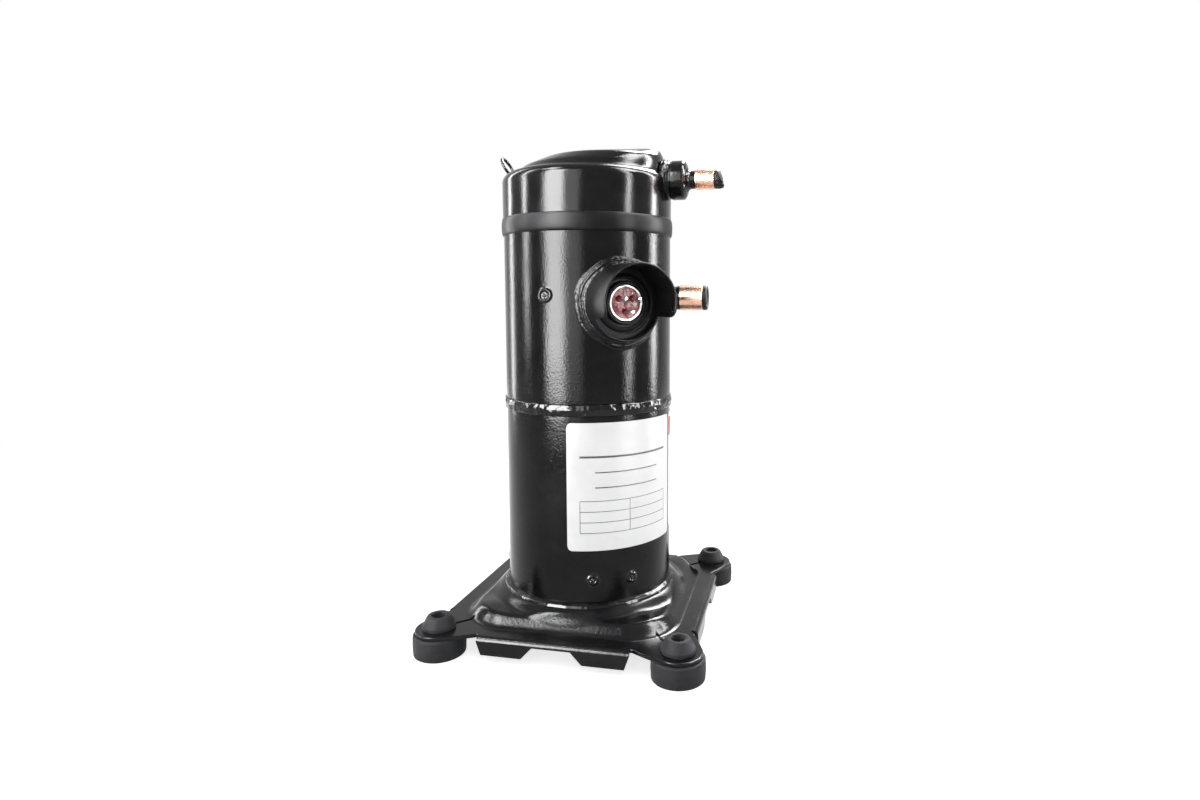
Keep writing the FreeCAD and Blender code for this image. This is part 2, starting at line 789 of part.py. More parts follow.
def sheet_outline():
    """The flat sheet: a square whose edges swing out to each ear along tangents."""
    near = "(flange_half_top + relief_width)"
    back = "(foot_place - tangent_back)"
    out = "(foot_place + tangent_out)"
    corner = [(near, "plate_edge"), (back, out), (out, back), ("plate_edge", near)]
    points = []
    for x_sign, y_sign, order in (("", "", 1), ("", "-", -1), ("-", "-", 1), ("-", "", -1)):
        points += [(x_sign + x, y_sign + y) for x, y in corner[::order]]
    return points


def flange_set(flange):
    """The flange and its three copies about Z."""
    copies = [flange]
    for quarter in (1, 2, 3):
        copy = doc.addObject("Part::Feature", f"plate_flange_{quarter}")
        copy.Shape = flange.Shape.copy()
        copy.Placement = FreeCAD.Placement(
            FreeCAD.Vector(), FreeCAD.Rotation(FreeCAD.Vector(0, 0, 1), 90 * quarter))
        copies.append(copy)
    return copies


def build_base_weld():
    """The bead that joins the plate's collar to the shell."""
    node("base_weld", turned("base_weld_bead", [
        ("shell_radius + seat_gap", "dome_height + seat_gap"),
        ("shell_radius + base_weld_size", "dome_height + seat_gap"),
        ("shell_radius + 1", "dome_height + base_weld_size * 0.8"),
        ("shell_radius + seat_gap", "dome_height + base_weld_size * 0.8")]))


def build_grommets():
    """A rubber foot at each corner, with a neck in the plate and a bolt hole."""
    for x_sign, y_sign in CORNERS:
        name = "grommet_" + FOOT_NAMES[x_sign + y_sign]
        foot = turned(name + "_body", [
            ("bolt_hole", "0"),
            ("foot_radius - foot_groove", "0"),
            ("foot_radius", "foot_groove"),
            ("foot_radius", "foot_drop - foot_groove"),
            ("foot_radius - foot_groove", "foot_drop - seat_gap"),
            ("grommet_neck", "foot_drop - seat_gap"),
            ("grommet_neck", "plate_height + seat_gap"),
            ("grommet_shoulder", "plate_height + seat_gap"),
            ("grommet_top_radius", "grommet_top"),
            ("bolt_hole", "grommet_top")])
        place(foot, f"{x_sign}foot_place", f"{y_sign}foot_place")
        node(name, foot)


# ---------------------------------------------------------------- stubs


def build_discharge():
    """The discharge fitting in the cap, its check valve, tube and plug."""
    fitting = turned("discharge_fitting_blank", [
        ("fitting_inner_end", "valve_port"),
        ("fitting_inner_end", "fitting_radius"),
        ("fitting_outer_end", "fitting_radius"),
        ("fitting_outer_end", "neck_radius"),
        ("neck_end", "neck_radius"),
        ("neck_end", "neck_bore"),
        ("fitting_outer_end - fitting_wall", "neck_bore"),
        ("fitting_outer_end - fitting_wall", "fitting_bore"),
        ("fitting_inner_end + valve_seat_wall", "fitting_bore"),
        ("fitting_inner_end + valve_seat_wall", "valve_port")], about="H_Axis")
    rounded(fitting, "fitting_corner", rim("fitting_radius", "fitting_outer_end", "x"))
    node("discharge_fitting", place(fitting, z="discharge_height"))

    tube = turned("discharge_tube_blank", [
        ("neck_end - neck_cover", "neck_radius + seat_gap"),
        ("neck_end - neck_cover", "discharge_tube_radius"),
        ("discharge_tube_end", "discharge_tube_radius"),
        ("discharge_tube_end", "discharge_tube_bore"),
        ("neck_end + seat_gap", "discharge_tube_bore"),
        ("neck_end + seat_gap", "neck_radius + seat_gap")], about="H_Axis")
    node("discharge_tube", place(tube, z="discharge_height"))

    plug = turned("discharge_plug_blank", [
        ("discharge_tube_end - discharge_plug_depth", "0"),
        ("discharge_tube_end - discharge_plug_depth", "discharge_tube_bore - 2 * touch_gap"),
        ("discharge_tube_end + touch_gap", "discharge_tube_bore - touch_gap"),
        ("discharge_tube_end + touch_gap", "discharge_tube_radius - touch_gap"),
        ("discharge_plug_end", "discharge_tube_radius - 4 * touch_gap"),
        ("discharge_plug_end", "0")], about="H_Axis")
    node("discharge_plug", place(plug, z="discharge_height"))

    disc = radial("valve_disc_blank", "valve_disc_radius", "valve_rest",
                  "valve_rest + valve_disc_wall", "discharge_height")
    node("check_valve_disc", disc)

    stop_face = "valve_rest + valve_disc_wall + valve_travel + touch_gap"
    stop = radial("valve_stop_blank", "fitting_bore - seat_gap", stop_face,
                  f"{stop_face} + valve_stop_wall", "discharge_height")
    ports = [radial(f"valve_stop_port_{number}", "valve_port / 2", "valve_rest",
                    f"{stop_face} + 2 * valve_stop_wall", "discharge_height", "0",
                    f"valve_port * 1.3 * cos(60 * {number})",
                    f"valve_port * 1.3 * sin(60 * {number})") for number in range(6)]
    node("check_valve_stop", cut("check_valve_stop", stop, *ports))


def build_suction():
    """The suction fitting in the shell's side, its tube, plug and inner baffle."""
    fitting = turned("suction_fitting_blank", [
        ("shell_inner - overrun", "suction_bore"),
        ("shell_inner - overrun", "suction_fitting_radius"),
        ("suction_shoulder", "suction_fitting_radius"),
        ("suction_shoulder", "suction_tube_bore - seat_gap"),
        ("suction_shoulder + suction_spigot", "suction_tube_bore - seat_gap"),
        ("suction_shoulder + suction_spigot", "suction_bore")], about="H_Axis")
    node("suction_fitting", place(fitting, z="suction_height"))

    tube = turned("suction_tube_blank", [
        ("suction_shoulder + seat_gap", "suction_tube_bore"),
        ("suction_shoulder + seat_gap", "suction_tube_radius"),
        ("suction_tube_end", "suction_tube_radius"),
        ("suction_tube_end", "suction_tube_bore")], about="H_Axis")
    node("suction_tube", place(tube, z="suction_height"))

    plug = turned("suction_plug_blank", [
        ("suction_tube_end - suction_plug_depth", "0"),
        ("suction_tube_end - suction_plug_depth", "suction_tube_bore - 4 * touch_gap"),
        ("suction_tube_end + touch_gap", "suction_tube_bore - touch_gap"),
        ("suction_tube_end + touch_gap", "suction_plug_head_radius"),
        ("suction_tube_end + touch_gap + suction_plug_head", "suction_plug_head_radius - 0.5"),
        ("suction_tube_end + touch_gap + suction_plug_head", "0")], about="H_Axis")
    node("suction_plug", place(plug, z="suction_height"))

    rise = "2 * baffle_half_height"
    low = "suction_height - baffle_half_height - 4"
    outer = box("baffle_block", "shell_radius - baffle_face", "baffle_width", rise,
                "baffle_face", "0", low)
    inner = box("baffle_room", "shell_radius", "baffle_width - 2 * baffle_wall",
                "4 * baffle_half_height", "baffle_face + baffle_wall", "0",
                "suction_height - 2 * baffle_half_height")
    bound_by = cylinder("baffle_limit", "shell_inner - seat_gap", "long_reach")
    stub = radial("baffle_stub_room", "suction_fitting_radius + touch_gap", "shell_inner - 2.3",
                  "shell_radius + 2 * overrun", "suction_height")
    trimmed = common("baffle", outer, bound_by)
    node("suction_baffle", cut("suction_baffle", trimmed, inner, stub))


# ---------------------------------------------------------------- terminal


def build_terminal():
    """The electrical terminal: weld, hooded fence, plate, cup, insulator and pins."""
    room = cylinder("terminal_shell_room", "shell_radius + seat_gap", "long_reach")
    skin = cylinder("terminal_weld_skin", "shell_radius + terminal_weld_rise", "long_reach")
    flare = radial("terminal_weld_flare", "terminal_weld_radius", "shell_radius / 2",
                   "shell_radius + 10", "terminal_height")
    fence_room = radial("terminal_weld_room", "fence_radius + seat_gap", "0",
                        "hood_reach + 1", "terminal_height")
    weld = cut("terminal_weld", common("terminal_weld", flare, skin), room, fence_room)
    node("terminal_weld", turn(weld, "terminal_azimuth"))

    tube = radial("fence_tube", "fence_radius", "shell_radius / 2", "hood_reach",
                  "terminal_height")
    bore = radial("fence_bore", "fence_radius - fence_wall", "0", "hood_reach + 1",
                  "terminal_height")
    open_side = box("fence_open_side", "hood_reach", "3 * fence_radius", "2 * fence_radius",
                    "fence_collar_reach", "0",
                    "terminal_height - hood_cut - 2 * fence_radius")
    fence = cut("terminal_fence", tube, bore, open_side, room)
    doc.recompute()
    lips = [f"Edge{number}" for number, edge in enumerate(fence.Shape.Edges, 1)
            if is_lip_corner(edge)]
    fillet = doc.addObject("Part::Fillet", "terminal_fence_lips")
    fillet.Base = fence
    radius = size("hood_corner")
    fillet.Edges = [(int(name[4:]), radius, radius) for name in lips]
    node("terminal_fence", turn(fillet, "terminal_azimuth"))

    plate = radial("terminal_plate_blank", "fence_radius - fence_wall - seat_gap",
                   "shell_radius / 2", "terminal_plate_face", "terminal_height")
    plate_hole = radial("terminal_plate_hole", "cup_radius + seat_gap", "0",
                        "hood_reach", "terminal_height")
    node("terminal_plate", turn(cut("terminal_plate", plate, room, plate_hole),
                                "terminal_azimuth"))

    cup = turned("terminal_cup_blank", [
        ("cup_inner_end", "insulator_radius + seat_gap"),
        ("cup_inner_end", "cup_radius"),
        ("cup_outer_end", "cup_radius"),
        ("cup_outer_end", "cup_radius - cup_wall"),
        ("insulator_face - 1.5", "cup_radius - cup_wall"),
        ("insulator_face - 1.5", "insulator_radius + seat_gap")], about="H_Axis")
    place(cup, z="terminal_height")
    node("terminal_cup", turn(cup, "terminal_azimuth"))

    holes = terminal_spots("insulator_hole", "pin_radius + seat_gap", "0", "hood_reach")
    disc = radial("insulator_blank", "insulator_radius", "insulator_back",
                  "insulator_face", "terminal_height")
    node("terminal_insulator", turn(cut("terminal_insulator", disc, *holes),
                                    "terminal_azimuth"))

    pins = terminal_spots("terminal_pin", "pin_radius", "pin_inner_end", "pin_outer_end")
    node("terminal_pins", turn(group("terminal_pins", pins), "terminal_azimuth"))

    block = box("connector_block", "connector_depth", "connector_width", "connector_drop",
                "pin_inner_end - 1", "0", "terminal_height - connector_drop / 2")
    sockets = terminal_spots("connector_socket", "pin_radius + seat_gap", "0", "hood_reach")
    node("terminal_connector", turn(cut("terminal_connector", block, *sockets),
                                    "terminal_azimuth"))

    rise = "terminal_height - connector_drop / 2 - winding_top - 2 * seat_gap"
    leads = [cylinder(f"motor_lead_{number}", "lead_radius", rise, "winding_top + seat_gap",
                      "pin_inner_end - 1 + connector_depth / 2",
                      f"pin_circle * {number - 1}") for number in range(3)]
    node("motor_leads", turn(group("motor_leads", leads), "terminal_azimuth"))


def is_lip_corner(edge):
    """Whether an edge is where the hood's open end meets its lower edge."""
    middle = edge.CenterOfMass
    return (abs(middle.x - size("hood_reach")) < 0.01
            and abs(middle.z - size("terminal_height - hood_cut")) < 0.01
            and edge.Length < size("fence_wall * 3"))


def terminal_spots(name, radius, start, end):
    """Three cylinders at the corners of the terminal's triangle, before it is turned."""
    return [radial(f"{name}_{number}", radius, start, end, "terminal_height", "0",
                   f"pin_circle * cos(30 + 120 * {number})",
                   f"pin_circle * sin(30 + 120 * {number})") for number in range(3)]


# ---------------------------------------------------------------- labels


def label(name, azimuth, sweep, bottom, rise):
    """A thin sheet wrapped on the shell, with rounded corners."""
    sheet_body = turned(name + "_sheet", [
        ("shell_radius + seat_gap", bottom),
        ("shell_radius + seat_gap + label_skin", bottom),
        ("shell_radius + seat_gap + label_skin", f"{bottom} + {rise}"),
        ("shell_radius + seat_gap", f"{bottom} + {rise}")], sweep=sweep)
    rounded(sheet_body, "label_corner", lambda edge: edge.Length < size("2 * label_skin")
            and abs(edge.Vertexes[0].Z - edge.Vertexes[-1].Z) < 0.01)
    middle = sheet_body.Shape.BoundBox.Center
    first = math.degrees(math.atan2(middle.y, middle.x)) - size(sweep) / 2
    node(name, turn(sheet_body, f"{azimuth} - ({first})"))


def build_labels():
    """The large front sheet and a second one round the right side."""
    label("front_label", "label_azimuth", "label_size / (shell_radius * pi) * 180",
          "label_bottom", "label_size")
    label("side_label", "side_label_azimuth", "side_label_sweep",
          "side_label_bottom", "side_label_rise")


# ---------------------------------------------------------------- scroll set


def wrap_solid(name, bottom, top, spin):
    """A scroll wall of quarter arcs whose centres are the corners of a small square."""
    side = size("wrap_pitch / 4")
    half_wall = size("wrap_wall / 2")
    centres = ((-side / 2, side / 2), (-side / 2, -side / 2),
               (side / 2, -side / 2), (side / 2, side / 2))
    up = FreeCAD.Vector(0, 0, 1)
    flanks = {-1: [], 1: []}
    for quarter in range(int(size("wrap_quarters"))):
        centre = FreeCAD.Vector(*centres[quarter % 4], 0)
        middle_radius = size("wrap_start") + quarter * side
        start = math.radians(90 * quarter)
        for flank, arcs in flanks.items():
            circle = Part.Circle(centre, up, middle_radius + flank * half_wall)
            arcs.append(Part.Arc(circle, start, start + math.pi / 2).toShape())
    first, last = ([arcs[index] for arcs in flanks.values()] for index in (0, -1))
    ends = [Part.makeLine(*(arc.valueAt(arc.FirstParameter) for arc in first)),
            Part.makeLine(*(arc.valueAt(arc.LastParameter) for arc in last))]
    edges = Part.__sortEdges__(flanks[-1] + flanks[1] + ends)
    face = Part.Face(Part.Wire(edges))
    solid = doc.addObject("Part::Feature", name)
    solid.Shape = face.extrude(up * (size(top) - size(bottom)))
    solid.Placement = FreeCAD.Placement(
        FreeCAD.Vector(0, 0, size(bottom)), FreeCAD.Rotation(up, spin))
    return solid


def build_orbiting_scroll():
    """The orbiting scroll at the crank's +X position, with its bearing."""
    plate = cylinder("orbiting_plate", "orbiting_radius", "orbiting_base", "orbiting_bottom")
    hub = cylinder("orbiting_hub", "hub_radius", "hub_depth + 1", "hub_bottom")
    whole = fuse("orbiting", plate, hub,
                 wrap_solid("orbiting_wrap", "orbiting_top - 1", "orbiting_top + wrap_rise", 180))
    bore = cylinder("orbiting_hub_bore", "orbiting_bearing_outer + seat_gap",
                    "hub_depth + 1", "hub_bottom - 1")
    slot_wide = "oldham_key_width + 4 * orbit_radius + 2 * touch_gap"
    slot_start = "oldham_key_circle - oldham_key_length / 2 - orbit_radius - touch_gap"
    slots = []
    for number, sign in enumerate("+-"):
        slot = doc.addObject("Part::Box", f"orbiting_slot_{number}")
        slot.setExpression("Length", bound(slot_wide))
        slot.setExpression("Width", bound("orbiting_radius"))
        slot.setExpression("Height", bound("oldham_key_rise + touch_gap + 1"))
        near = slot_start if sign == "+" else f"-({slot_start}) - orbiting_radius"
        place(slot, f"-({slot_wide}) / 2", near, "orbiting_bottom - 1")
        slots.append(slot)
    scroll = cut("orbiting_scroll", whole, bore, *slots)
    scroll.setExpression("Placement.Base.x", bound("orbit_radius"))
    node("orbiting_scroll", scroll)

    lining = ring("orbiting_bearing_blank", "orbiting_bearing_inner", "orbiting_bearing_outer",
                  "hub_bottom", "hub_depth - touch_gap")
    lining.setExpression("Placement.Base.x", bound("orbit_radius"))
    node("orbiting_bearing", lining)


def ring(name, inner, outer, bottom, rise):
    """A plain upright ring."""
    return turned(name, [(inner, bottom), (outer, bottom),
                         (outer, f"{bottom} + {rise}"), (inner, f"{bottom} + {rise}")])


def screw_spots(name, radius, bottom, rise):
    """Four upright cylinders on the circle of the scroll screws."""
    return [cylinder(f"{name}_{number}", radius, rise, bottom,
                     f"screw_circle * cos(45 + 90 * {number})",
                     f"screw_circle * sin(45 + 90 * {number})") for number in range(4)]


def build_fixed_scroll():
    """The fixed scroll: base, skirt down to the housing, wrap, port and seal groove."""
    base = cylinder("fixed_plate", "skirt_inner + 1", "fixed_base", "fixed_bottom")
    skirt = ring("fixed_skirt", "skirt_inner", "fixed_radius", "thrust_height + seat_gap",
                 "fixed_bottom + fixed_flange - thrust_height - seat_gap")
    whole = fuse("fixed", base, skirt,
                 wrap_solid("fixed_wrap", "fixed_bottom - wrap_rise", "fixed_bottom + 1", 0))
    port = cylinder("fixed_port", "scroll_port", "fixed_base + 2", "fixed_bottom - 1")
    groove = ring("fixed_seal_groove", "seal_inner - touch_gap", "seal_outer + touch_gap",
                  "fixed_top - seal_groove_depth", "seal_groove_depth + 1")
    window = box("fixed_window", "4 * fixed_radius", "skirt_window", "wrap_rise - 4",
                 "-2 * fixed_radius", "0", "orbiting_top + 2")
    window_keep = cylinder("fixed_window_keep", "skirt_inner - 1", "long_reach", "orbiting_bottom")
    holes = screw_spots("fixed_screw_hole", "screw_radius + seat_gap", "thrust_height - 1", "long_reach")
    node("fixed_scroll", cut("fixed_scroll", whole, port, groove,
                             cut("fixed_side_window", window, window_keep), *holes))

    shanks = screw_spots("scroll_screw_shank", "screw_radius", "thrust_height - screw_depth",
                         "fixed_bottom + fixed_flange + 1 - thrust_height + screw_depth")
    heads = screw_spots("scroll_screw_head", "screw_head_radius",
                        "fixed_bottom + fixed_flange + seat_gap", "screw_head")
    screws = [fuse(f"scroll_screw_{number}", shank, head)
              for number, (shank, head) in enumerate(zip(shanks, heads))]
    node("scroll_screws", group("scroll_screws", screws))


def build_seal_and_muffler():
    """The floating seal on the fixed scroll and the muffler plate over it."""
    seal = ring("floating_seal_ring", "seal_inner", "seal_outer",
                "fixed_top - seal_groove_depth + touch_gap", "seal_height")
    node("floating_seal", seal)
    plate = ring("muffler_disc", "muffler_port", "shell_radius", "shell_top", "muffler_wall")
    node("muffler_plate", plate)


def build_oldham_ring():
    """The Oldham ring, with keys down to the housing and up to the orbiting scroll."""
    body = ring("oldham_band", "oldham_inner", "oldham_outer",
                "recess_floor + touch_gap", "oldham_wall")
    keys = []
    for number, sign in enumerate("+-"):
        low = box(f"oldham_low_key_{number}", "oldham_key_length", "oldham_key_width",
                  "oldham_key_rise + 1",
                  f"{sign}oldham_key_circle - oldham_key_length / 2", "0",
                  "recess_floor + touch_gap - oldham_key_rise")
        high = doc.addObject("Part::Box", f"oldham_high_key_{number}")
        high.setExpression("Length", bound("oldham_key_width"))
        high.setExpression("Width", bound("oldham_key_length"))
        high.setExpression("Height", bound("oldham_key_rise + 1"))
        place(high, "-oldham_key_width / 2",
              f"{sign}oldham_key_circle - oldham_key_length / 2",
              "recess_floor + touch_gap + oldham_wall - 1")
        keys += [low, high]
    node("oldham_ring", fuse("oldham_ring", body, *keys))


def build_main_housing():
    """The main bearing housing: hub, thrust face, rim for the scroll and three arms."""
    body = turned("housing_core", [
        ("main_journal + bush_wall + running_gap + seat_gap", "housing_hub_bottom"),
        ("housing_hub_radius", "housing_hub_bottom"),
        ("housing_hub_radius", "floor_bottom"),
        ("housing_floor_radius", "floor_bottom"),
        ("housing_floor_radius", "recess_floor"),
        ("fixed_radius", "recess_floor"),
        ("fixed_radius", "thrust_height"),
        ("recess_radius", "thrust_height"),
        ("recess_radius", "recess_floor"),
        ("thrust_outer", "recess_floor"),
        ("thrust_outer", "thrust_height"),
        ("housing_well_radius", "thrust_height"),
        ("housing_well_radius", "well_floor"),
        ("main_journal + bush_wall + running_gap + seat_gap", "well_floor")])
    arms = []
    for number, azimuth in enumerate(ARM_AZIMUTHS):
        arm = doc.addObject("Part::Box", f"housing_arm_{number}")
        arm.setExpression("Length", bound("shell_radius - housing_hub_radius + 2 * overrun"))
        arm.setExpression("Width", bound("arm_width"))
        arm.setExpression("Height", bound("arm_depth / 2 + thrust_height - arm_height"))
        spin = FreeCAD.Rotation(FreeCAD.Vector(0, 0, 1), size(azimuth))
        start = spin.multVec(FreeCAD.Vector(size("housing_hub_radius - 1"),
                                            -size("arm_width / 2"), 0))
        start.z = size("arm_height - arm_depth / 2")
        arm.Placement = FreeCAD.Placement(start, spin)
        arms.append(arm)
    limit = cylinder("housing_limit", "shell_inner - seat_gap", "long_reach")
    arm_set = common("housing_arms", fuse("housing_arms", *arms), limit)
    hollow = turned("housing_arm_room", [
        ("thrust_outer", "recess_floor"),
        ("recess_radius", "recess_floor"),
        ("recess_radius", "thrust_height + 1"),
        ("thrust_outer", "thrust_height + 1")])
    keys = [box(f"housing_slot_{number}",
                "oldham_key_length + 2 * orbit_radius + 2 * touch_gap",
                "oldham_key_width + 2 * touch_gap", "oldham_key_rise + 2",
                f"{sign}oldham_key_circle - oldham_key_length / 2 - orbit_radius - touch_gap",
                "0", "recess_floor - oldham_key_rise")
            for number, sign in enumerate("+-")]
    holes = screw_spots("housing_screw_hole", "screw_radius + seat_gap",
                        "thrust_height - screw_depth - touch_gap", "20")
    node("main_bearing_housing",
         cut("main_bearing_housing", fuse("housing", body, arm_set), hollow, *keys, *holes))
    node("main_bearing_bush", ring(
        "main_bush", "main_journal + running_gap", "main_journal + running_gap + bush_wall",
        "housing_hub_bottom + 1", "well_floor - housing_hub_bottom - 2"))


# ---------------------------------------------------------------- crankshaft


def build_crankshaft():
    """The crankshaft with its eccentric pin, and the drive bushing on the pin."""
    shaft = turned("shaft_blank", [
        ("0", "shaft_bottom"),
        ("lower_journal", "shaft_bottom"),
        ("lower_journal", "journal_top"),
        ("shaft_radius", "journal_top"),
        ("shaft_radius", "housing_hub_bottom - 4"),
        ("main_journal", "housing_hub_bottom - 4"),
        ("main_journal", "well_floor + face_gap"),
        ("0", "well_floor + face_gap")])
    pin = cylinder("crank_pin", "pin_journal", "orbiting_bottom - well_floor - 3 * face_gap",
                   "well_floor", "orbit_radius")
    oil = cylinder("oil_passage", "oil_hole", "long_reach", "shaft_bottom - 1", "orbit_radius")
    node("crankshaft", cut("crankshaft", fuse("crank", shaft, pin), oil))

    bushing = ring("drive_bushing_ring", "pin_journal + running_gap", "drive_bushing_radius",
                   "hub_bottom", "hub_depth - 2 * touch_gap")
    bushing.setExpression("Placement.Base.x", bound("orbit_radius"))
    node("drive_bushing", bushing)

    node("oil_pickup", turned("oil_pickup_cup", [
        ("pickup_inlet", "pickup_bottom"),
        ("pickup_inlet + 1.5", "pickup_bottom"),
        ("lower_journal + 1.5", "shaft_bottom - 1.5"),
        ("lower_journal + 1.5", "shaft_bottom + pickup_cover"),
        ("lower_journal + seat_gap", "shaft_bottom + pickup_cover"),
        ("lower_journal + seat_gap", "shaft_bottom - seat_gap"),
        ("lower_journal - 1", "shaft_bottom - seat_gap")]))


def build_lower_bearing():
    """The bracket that carries the lower bearing on three arms with tabs on the shell."""
    hub = ring("bracket_hub", "lower_journal + running_gap + bush_wall + seat_gap",
               "bracket_hub_radius", "bracket_hub_bottom",
               "bracket_hub_top - bracket_hub_bottom")
    arms = []
    for number, azimuth in enumerate(BRACKET_AZIMUTHS):
        spin = FreeCAD.Rotation(FreeCAD.Vector(0, 0, 1), size(azimuth))
        start = spin.multVec(FreeCAD.Vector(size("bracket_hub_radius - 1"),
                                            -size("bracket_arm_width / 2"), 0))
        start.z = size("bracket_hub_bottom")
        arm = doc.addObject("Part::Box", f"bracket_arm_{number}")
        arm.setExpression("Length", bound("shell_inner"))
        arm.setExpression("Width", bound("bracket_arm_width"))
        arm.setExpression("Height", bound("bracket_tab_height"))
        arm.Placement = FreeCAD.Placement(start, spin)
        arms.append(arm)
    limit = cylinder("bracket_limit", "shell_inner - seat_gap", "long_reach")
    room = turned("bracket_room", [
        ("bracket_hub_radius - 0.5", "bracket_hub_bottom + bracket_wall"),
        ("shell_inner - seat_gap - bracket_wall", "bracket_hub_bottom + bracket_wall"),
        ("shell_inner - seat_gap - bracket_wall", "bracket_hub_top + 20"),
        ("bracket_hub_radius - 0.5", "bracket_hub_top + 20")])
    arm_set = cut("bracket_arms", common("bracket_arms", fuse("bracket_arms", *arms), limit),
                  room)
    node("lower_bearing_bracket", fuse("lower_bearing_bracket", hub, arm_set))
    node("lower_bearing_bush", ring(
        "lower_bush", "lower_journal + running_gap",
        "lower_journal + running_gap + bush_wall", "bracket_hub_bottom",
        "bracket_hub_top - bracket_hub_bottom"))


# ---------------------------------------------------------------- motor


def build_stator():
    """The slotted stator core and its two end windings."""
    core = ring("stator_stack", "stator_bore", "shell_inner - seat_gap", "stator_bottom",
                "stator_rise")
    slots = padded("stator_slots", "XY_Plane", [
        ("stator_bore + 3", "-stator_slot_width / 2"),
        ("stator_bore + 3 + slot_depth", "-stator_slot_width / 2"),
        ("stator_bore + 3 + slot_depth", "stator_slot_width / 2"),
        ("stator_bore + 3", "stator_slot_width / 2")], "stator_rise + 2", "stator_bottom - 1")
    patterned(slots, "slot_count")
    flats = []
    for number in range(4):
        spin = FreeCAD.Rotation(FreeCAD.Vector(0, 0, 1), 45 + 90 * number)
        flat = doc.addObject("Part::Box", f"stator_flat_{number}")
        flat.setExpression("Length", bound("shell_wall * 3"))
        flat.setExpression("Width", bound("shell_radius"))
        flat.setExpression("Height", bound("stator_rise + 2"))
        start = spin.multVec(FreeCAD.Vector(size("stator_flat"), -size("shell_radius / 2"), 0))
        start.z = size("stator_bottom - 1")
        flat.Placement = FreeCAD.Placement(start, spin)
        flats.append(flat)
    node("stator_core", cut("stator_core", core, slots, *flats))

    upper = ring("upper_winding_ring", "winding_inner", "winding_outer",
                 "stator_top + seat_gap", "winding_top_rise - seat_gap")
    rounded(upper, "winding_corner", lambda edge: edge.CenterOfMass.z > size("winding_top - 1"))
    node("upper_windings", upper)
    lower = ring("lower_winding_ring", "winding_inner", "winding_outer",
                 "stator_bottom - winding_bottom_drop", "winding_bottom_drop - seat_gap")
    rounded(lower, "winding_corner", lambda edge: (
        edge.CenterOfMass.z < size("stator_bottom - winding_bottom_drop + 1")))
    node("lower_windings", lower)

    capsule = box("protector_case", "protector_width", "protector_length", "protector_rise",
                  "0", "0", "winding_top + seat_gap")
    spin = FreeCAD.Rotation(FreeCAD.Vector(0, 0, 1), size("protector_azimuth"))
    near = size("(winding_inner + winding_outer) / 2 - protector_width / 2 + 1.5")
    start = spin.multVec(FreeCAD.Vector(near, -size("protector_length / 2"), 0))
    for axis in "xyz":
        capsule.setExpression(f"Placement.Base.{axis}", None)
    start.z = size("winding_top + seat_gap")
    capsule.Placement = FreeCAD.Placement(start, spin)
    node("motor_protector", capsule)


def half_ring(name, inner, outer, bottom, rise, spin):
    """Half of a ring, on the side that a turn about Z chooses."""
    body = turned(name, [(inner, bottom), (outer, bottom),
                         (outer, f"{bottom} + {rise}"), (inner, f"{bottom} + {rise}")],
                  sweep="180")
    middle = body.Shape.BoundBox.Center
    first = math.degrees(math.atan2(middle.y, middle.x))
    return turn(body, f"{spin} - ({first})")


def build_rotor():
    """The rotor core, its end rings and the two counterweights."""
    node("rotor_core", ring("rotor_stack", "rotor_bore", "rotor_radius", "stator_bottom",
                            "stator_rise"))
    rings = [ring("rotor_top_ring", "end_ring_inner", "end_ring_outer",
                  "stator_top + seat_gap", "end_ring_rise"),
             ring("rotor_bottom_ring", "end_ring_inner", "end_ring_outer",
                  "stator_bottom - end_ring_rise - seat_gap", "end_ring_rise")]
    node("rotor_end_rings", group("rotor_end_rings", rings))
    collar = ring("upper_weight_collar", "rotor_bore", "weight_collar",
                  "upper_weight_bottom", "upper_weight_rise")
    lobe = half_ring("upper_weight_lobe", "weight_collar - 1", "upper_weight_radius",
                     "upper_weight_bottom", "upper_weight_rise", "180")
    node("upper_counterweight", fuse("upper_counterweight", collar, lobe))
    node("lower_counterweight", half_ring(
        "lower_weight_lobe", "end_ring_inner", "lower_weight_radius",
        "stator_bottom - end_ring_rise - 2 * seat_gap - lower_weight_rise",
        "lower_weight_rise", "0"))


def build_sump_magnet():
    """The magnet on the floor of the sump."""
    node("sump_magnet", cylinder("sump_magnet_disc", "magnet_radius", "magnet_wall",
                                 "shell_bottom + shell_wall + seat_gap", "-magnet_offset"))


# ---------------------------------------------------------------- build and export


def check_document():
    """Stop if any object failed or any sub-part has no valid shape."""
    doc.recompute()
    failed = [item.Name for item in doc.Objects
              if {"Invalid", "Error"} & set(item.State)]
    if failed:
        raise RuntimeError(f"objects that failed: {failed}")
    for name, item in nodes.items():
        shape = item.Shape
        if shape.isNull() or not shape.isValid() or not shape.Solids:
            raise RuntimeError(f"{name} has no valid solid")


def export_parts():
    """Write each sub-part to its own file."""
    os.makedirs("parts", exist_ok=True)
    for name, item in nodes.items():
        item.Shape.exportStep(f"parts/{name}.step")


fill_sheet()
build_shells()
build_shell_welds()
build_cap()
build_lifting_ring()
build_base_plate()
build_base_weld()
build_grommets()
build_discharge()
build_suction()
build_terminal()
build_labels()
build_main_housing()
build_oldham_ring()
build_orbiting_scroll()
build_fixed_scroll()
build_seal_and_muffler()
build_crankshaft()
build_lower_bearing()
build_stator()
build_rotor()
build_sump_magnet()
check_document()
export_parts()
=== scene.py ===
"""Looks of the hermetic scroll compressor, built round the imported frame, in metres."""

import math

import bmesh
import bpy
import numpy as np
from mathutils import Matrix, Vector, noise


